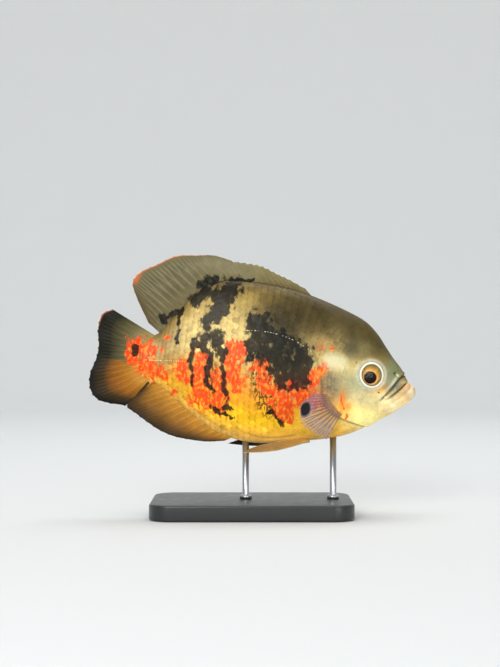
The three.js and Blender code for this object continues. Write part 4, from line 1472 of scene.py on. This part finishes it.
class OSCAR_OT_stand(bpy.types.Operator):
    """A rounded base with eased edges, and two rods with collars"""

    bl_idname = "oscar.stand"
    bl_label = "Stand"

    def execute(self, context):
        look = context.scene.oscar_look
        self.base(base_material(look))
        steel = rod_material(look)
        for word in ("rear", "front"):
            self.rod(word, steel)
        return {"FINISHED"}

    def base(self, material):
        """Loops of a rounded rectangle, drawn in along a profile that rounds both edges."""
        low, high = (np.array(corner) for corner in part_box("stand_base"))
        half = (high - low)[:2] / 2
        corner, edge = BASE_CORNER * MM, BASE_EDGE * MM
        outline = []
        for quarter, signs in enumerate(((1, 1), (-1, 1), (-1, -1), (1, -1))):
            turn = np.linspace(0, math.pi / 2, 13) + quarter * math.pi / 2
            outline.extend(signs * (half - corner) + corner * np.stack([np.cos(turn), np.sin(turn)], -1))
        outline = np.array([*outline, outline[0]])
        ease = np.linspace(0, math.pi / 2, 7)
        draw_in = np.concatenate([
            [half[1]], edge * (1 - np.sin(ease)), edge * (1 - np.cos(ease)), [half[1]]])
        height = np.concatenate([
            [low[2]], low[2] + edge * (1 - np.cos(ease)), high[2] - edge * (1 - np.sin(ease)), [high[2]]])
        points = np.empty((len(height), len(outline), 3))
        points[..., :2] = outline * (1 - draw_in[:, None, None] / half[1]) + (high + low)[:2] / 2
        points[..., 2] = height[:, None]
        new_piece("display_base", points, grid_quads(*points.shape[:2]), material,
                  replaces=("stand_base",), merge=1e-6)

    def rod(self, word, material):
        """A profile turned about the rod's axis: a collar on the base, then the plain rod."""
        low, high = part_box("stand_rod_" + word)
        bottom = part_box("stand_base")[1][2] / MM
        collar = bottom + FOOT_HEIGHT
        top = high[2] / MM + ROD_SINK
        ease = np.linspace(0, math.pi / 2, 6)
        radius = np.concatenate([
            [0, FOOT_RADIUS], FOOT_RADIUS - FOOT_EDGE * (1 - np.cos(ease)),
            ROD_RADIUS + FOOT_FILLET * (1 - np.sin(ease)), [ROD_RADIUS, 0]])
        height = np.concatenate([
            [bottom, bottom], collar - FOOT_EDGE * (1 - np.sin(ease)),
            collar + FOOT_FILLET * (1 - np.cos(ease)), [top, top]])
        points = turned(radius, height, 49) * MM
        points[..., :2] += ((low[0] + high[0]) / 2, (low[1] + high[1]) / 2)
        new_piece("display_rod_" + word, points, grid_quads(*points.shape[:2]), material,
                  replaces=("stand_rod_" + word,), merge=1e-6)


class OSCAR_OT_stage(bpy.types.Operator):
    """A pale floor that sweeps up into a backdrop, soft lights and the camera"""

    bl_idname = "oscar.stage"
    bl_label = "Stage"

    def execute(self, context):
        stage, look = context.scene.oscar_stage, context.scene.oscar_look
        self.sweep(look)
        self.lights(stage)
        self.camera(stage)
        return {"FINISHED"}

    def sweep(self, look):
        """A flat floor, a quarter circle and a wall, turned about the upright axis."""
        rise = np.linspace(-math.pi / 2, 0, 25)
        radius = np.r_[0.001, SWEEP_RADIUS - SWEEP_BEND * (1 - np.cos(rise)), SWEEP_RADIUS]
        height = np.r_[0, SWEEP_BEND * (1 + np.sin(rise)), SWEEP_HEIGHT]
        points = turned(radius, height, 97)
        quads = grid_quads(*points.shape[:2])[:, ::-1]
        mesh = bpy.data.meshes.new("studio_sweep")
        mesh.from_pydata(points.reshape(-1, 3).tolist(), [], quads.tolist())
        mesh.shade_smooth()
        mesh.materials.append(stage_material(look))
        sweep = bpy.data.objects.new("studio_sweep", mesh)
        bpy.context.scene.collection.objects.link(sweep)

    def lights(self, stage):
        """Square soft lights, each turned to its aim, and a dim sky."""
        for name, place, aim, width in LIGHTS:
            lamp = bpy.data.lights.new(name + "_light", "AREA")
            lamp.size = width
            lamp.energy = getattr(stage, name + "_power")
            made = bpy.data.objects.new(name + "_light", lamp)
            made.location = place
            made.rotation_euler = (Vector(aim) - Vector(place)).to_track_quat("-Z", "Y").to_euler()
            bpy.context.scene.collection.objects.link(made)
        world = bpy.data.worlds.new("studio_world")
        world.use_nodes = True
        sky = world.node_tree.nodes["Background"].inputs
        sky["Color"].default_value = (0.9, 0.95, 1.0, 1)
        sky["Strength"].default_value = 0.7
        bpy.context.scene.world = world

    def camera(self, stage):
        """Level, square to the fish, with the photograph's field: the long side is the height."""
        lens = bpy.data.cameras.new("camera")
        lens.sensor_width = 36
        lens.lens = lens.sensor_width * stage.distance / stage.view_height
        lens.clip_end = 20
        bpy.context.scene.view_settings.view_transform = "Standard"
        made = bpy.data.objects.new("camera", lens)
        made.location = (stage.aim_x, -stage.distance, stage.aim_z)
        made.rotation_euler = (math.pi / 2, 0, 0)
        bpy.context.scene.collection.objects.link(made)
        bpy.context.scene.camera = made


OPERATORS = (
    OSCAR_OT_skin, OSCAR_OT_scales, OSCAR_OT_lateral_line, OSCAR_OT_eyes, OSCAR_OT_midline_fins,
    OSCAR_OT_paired_fins, OSCAR_OT_stand, OSCAR_OT_stage,
)


class OSCAR_PT_panel(bpy.types.Panel):
    """Lists the settings and the pieces of the model"""

    bl_idname = "OSCAR_PT_panel"
    bl_label = "Oscar Fish"
    bl_space_type = "VIEW_3D"
    bl_region_type = "UI"
    bl_category = "Oscar Fish"

    def draw(self, context):
        for settings in (context.scene.oscar_look, context.scene.oscar_sizes, context.scene.oscar_stage):
            box = self.layout.box()
            for name in settings.bl_rna.properties.keys():
                if name not in ("rna_type", "name"):
                    box.prop(settings, name)
        for operator in OPERATORS:
            self.layout.operator(operator.bl_idname)


CLASSES = (OscarLook, OscarSizes, OscarStage, *OPERATORS, OSCAR_PT_panel)


def register():
    """Adds the settings, the operators and the panel."""
    for cls in CLASSES:
        bpy.utils.register_class(cls)
    bpy.types.Scene.oscar_look = PointerProperty(type=OscarLook)
    bpy.types.Scene.oscar_sizes = PointerProperty(type=OscarSizes)
    bpy.types.Scene.oscar_stage = PointerProperty(type=OscarStage)


def unregister():
    """Takes them away again."""
    del bpy.types.Scene.oscar_stage
    del bpy.types.Scene.oscar_sizes
    del bpy.types.Scene.oscar_look
    for cls in reversed(CLASSES):
        bpy.utils.unregister_class(cls)


def main():
    """Builds every piece in order."""
    register()
    for operator in OPERATORS:
        group, name = operator.bl_idname.split(".")
        getattr(getattr(bpy.ops, group), name)()


if __name__ == "__main__":
    main()
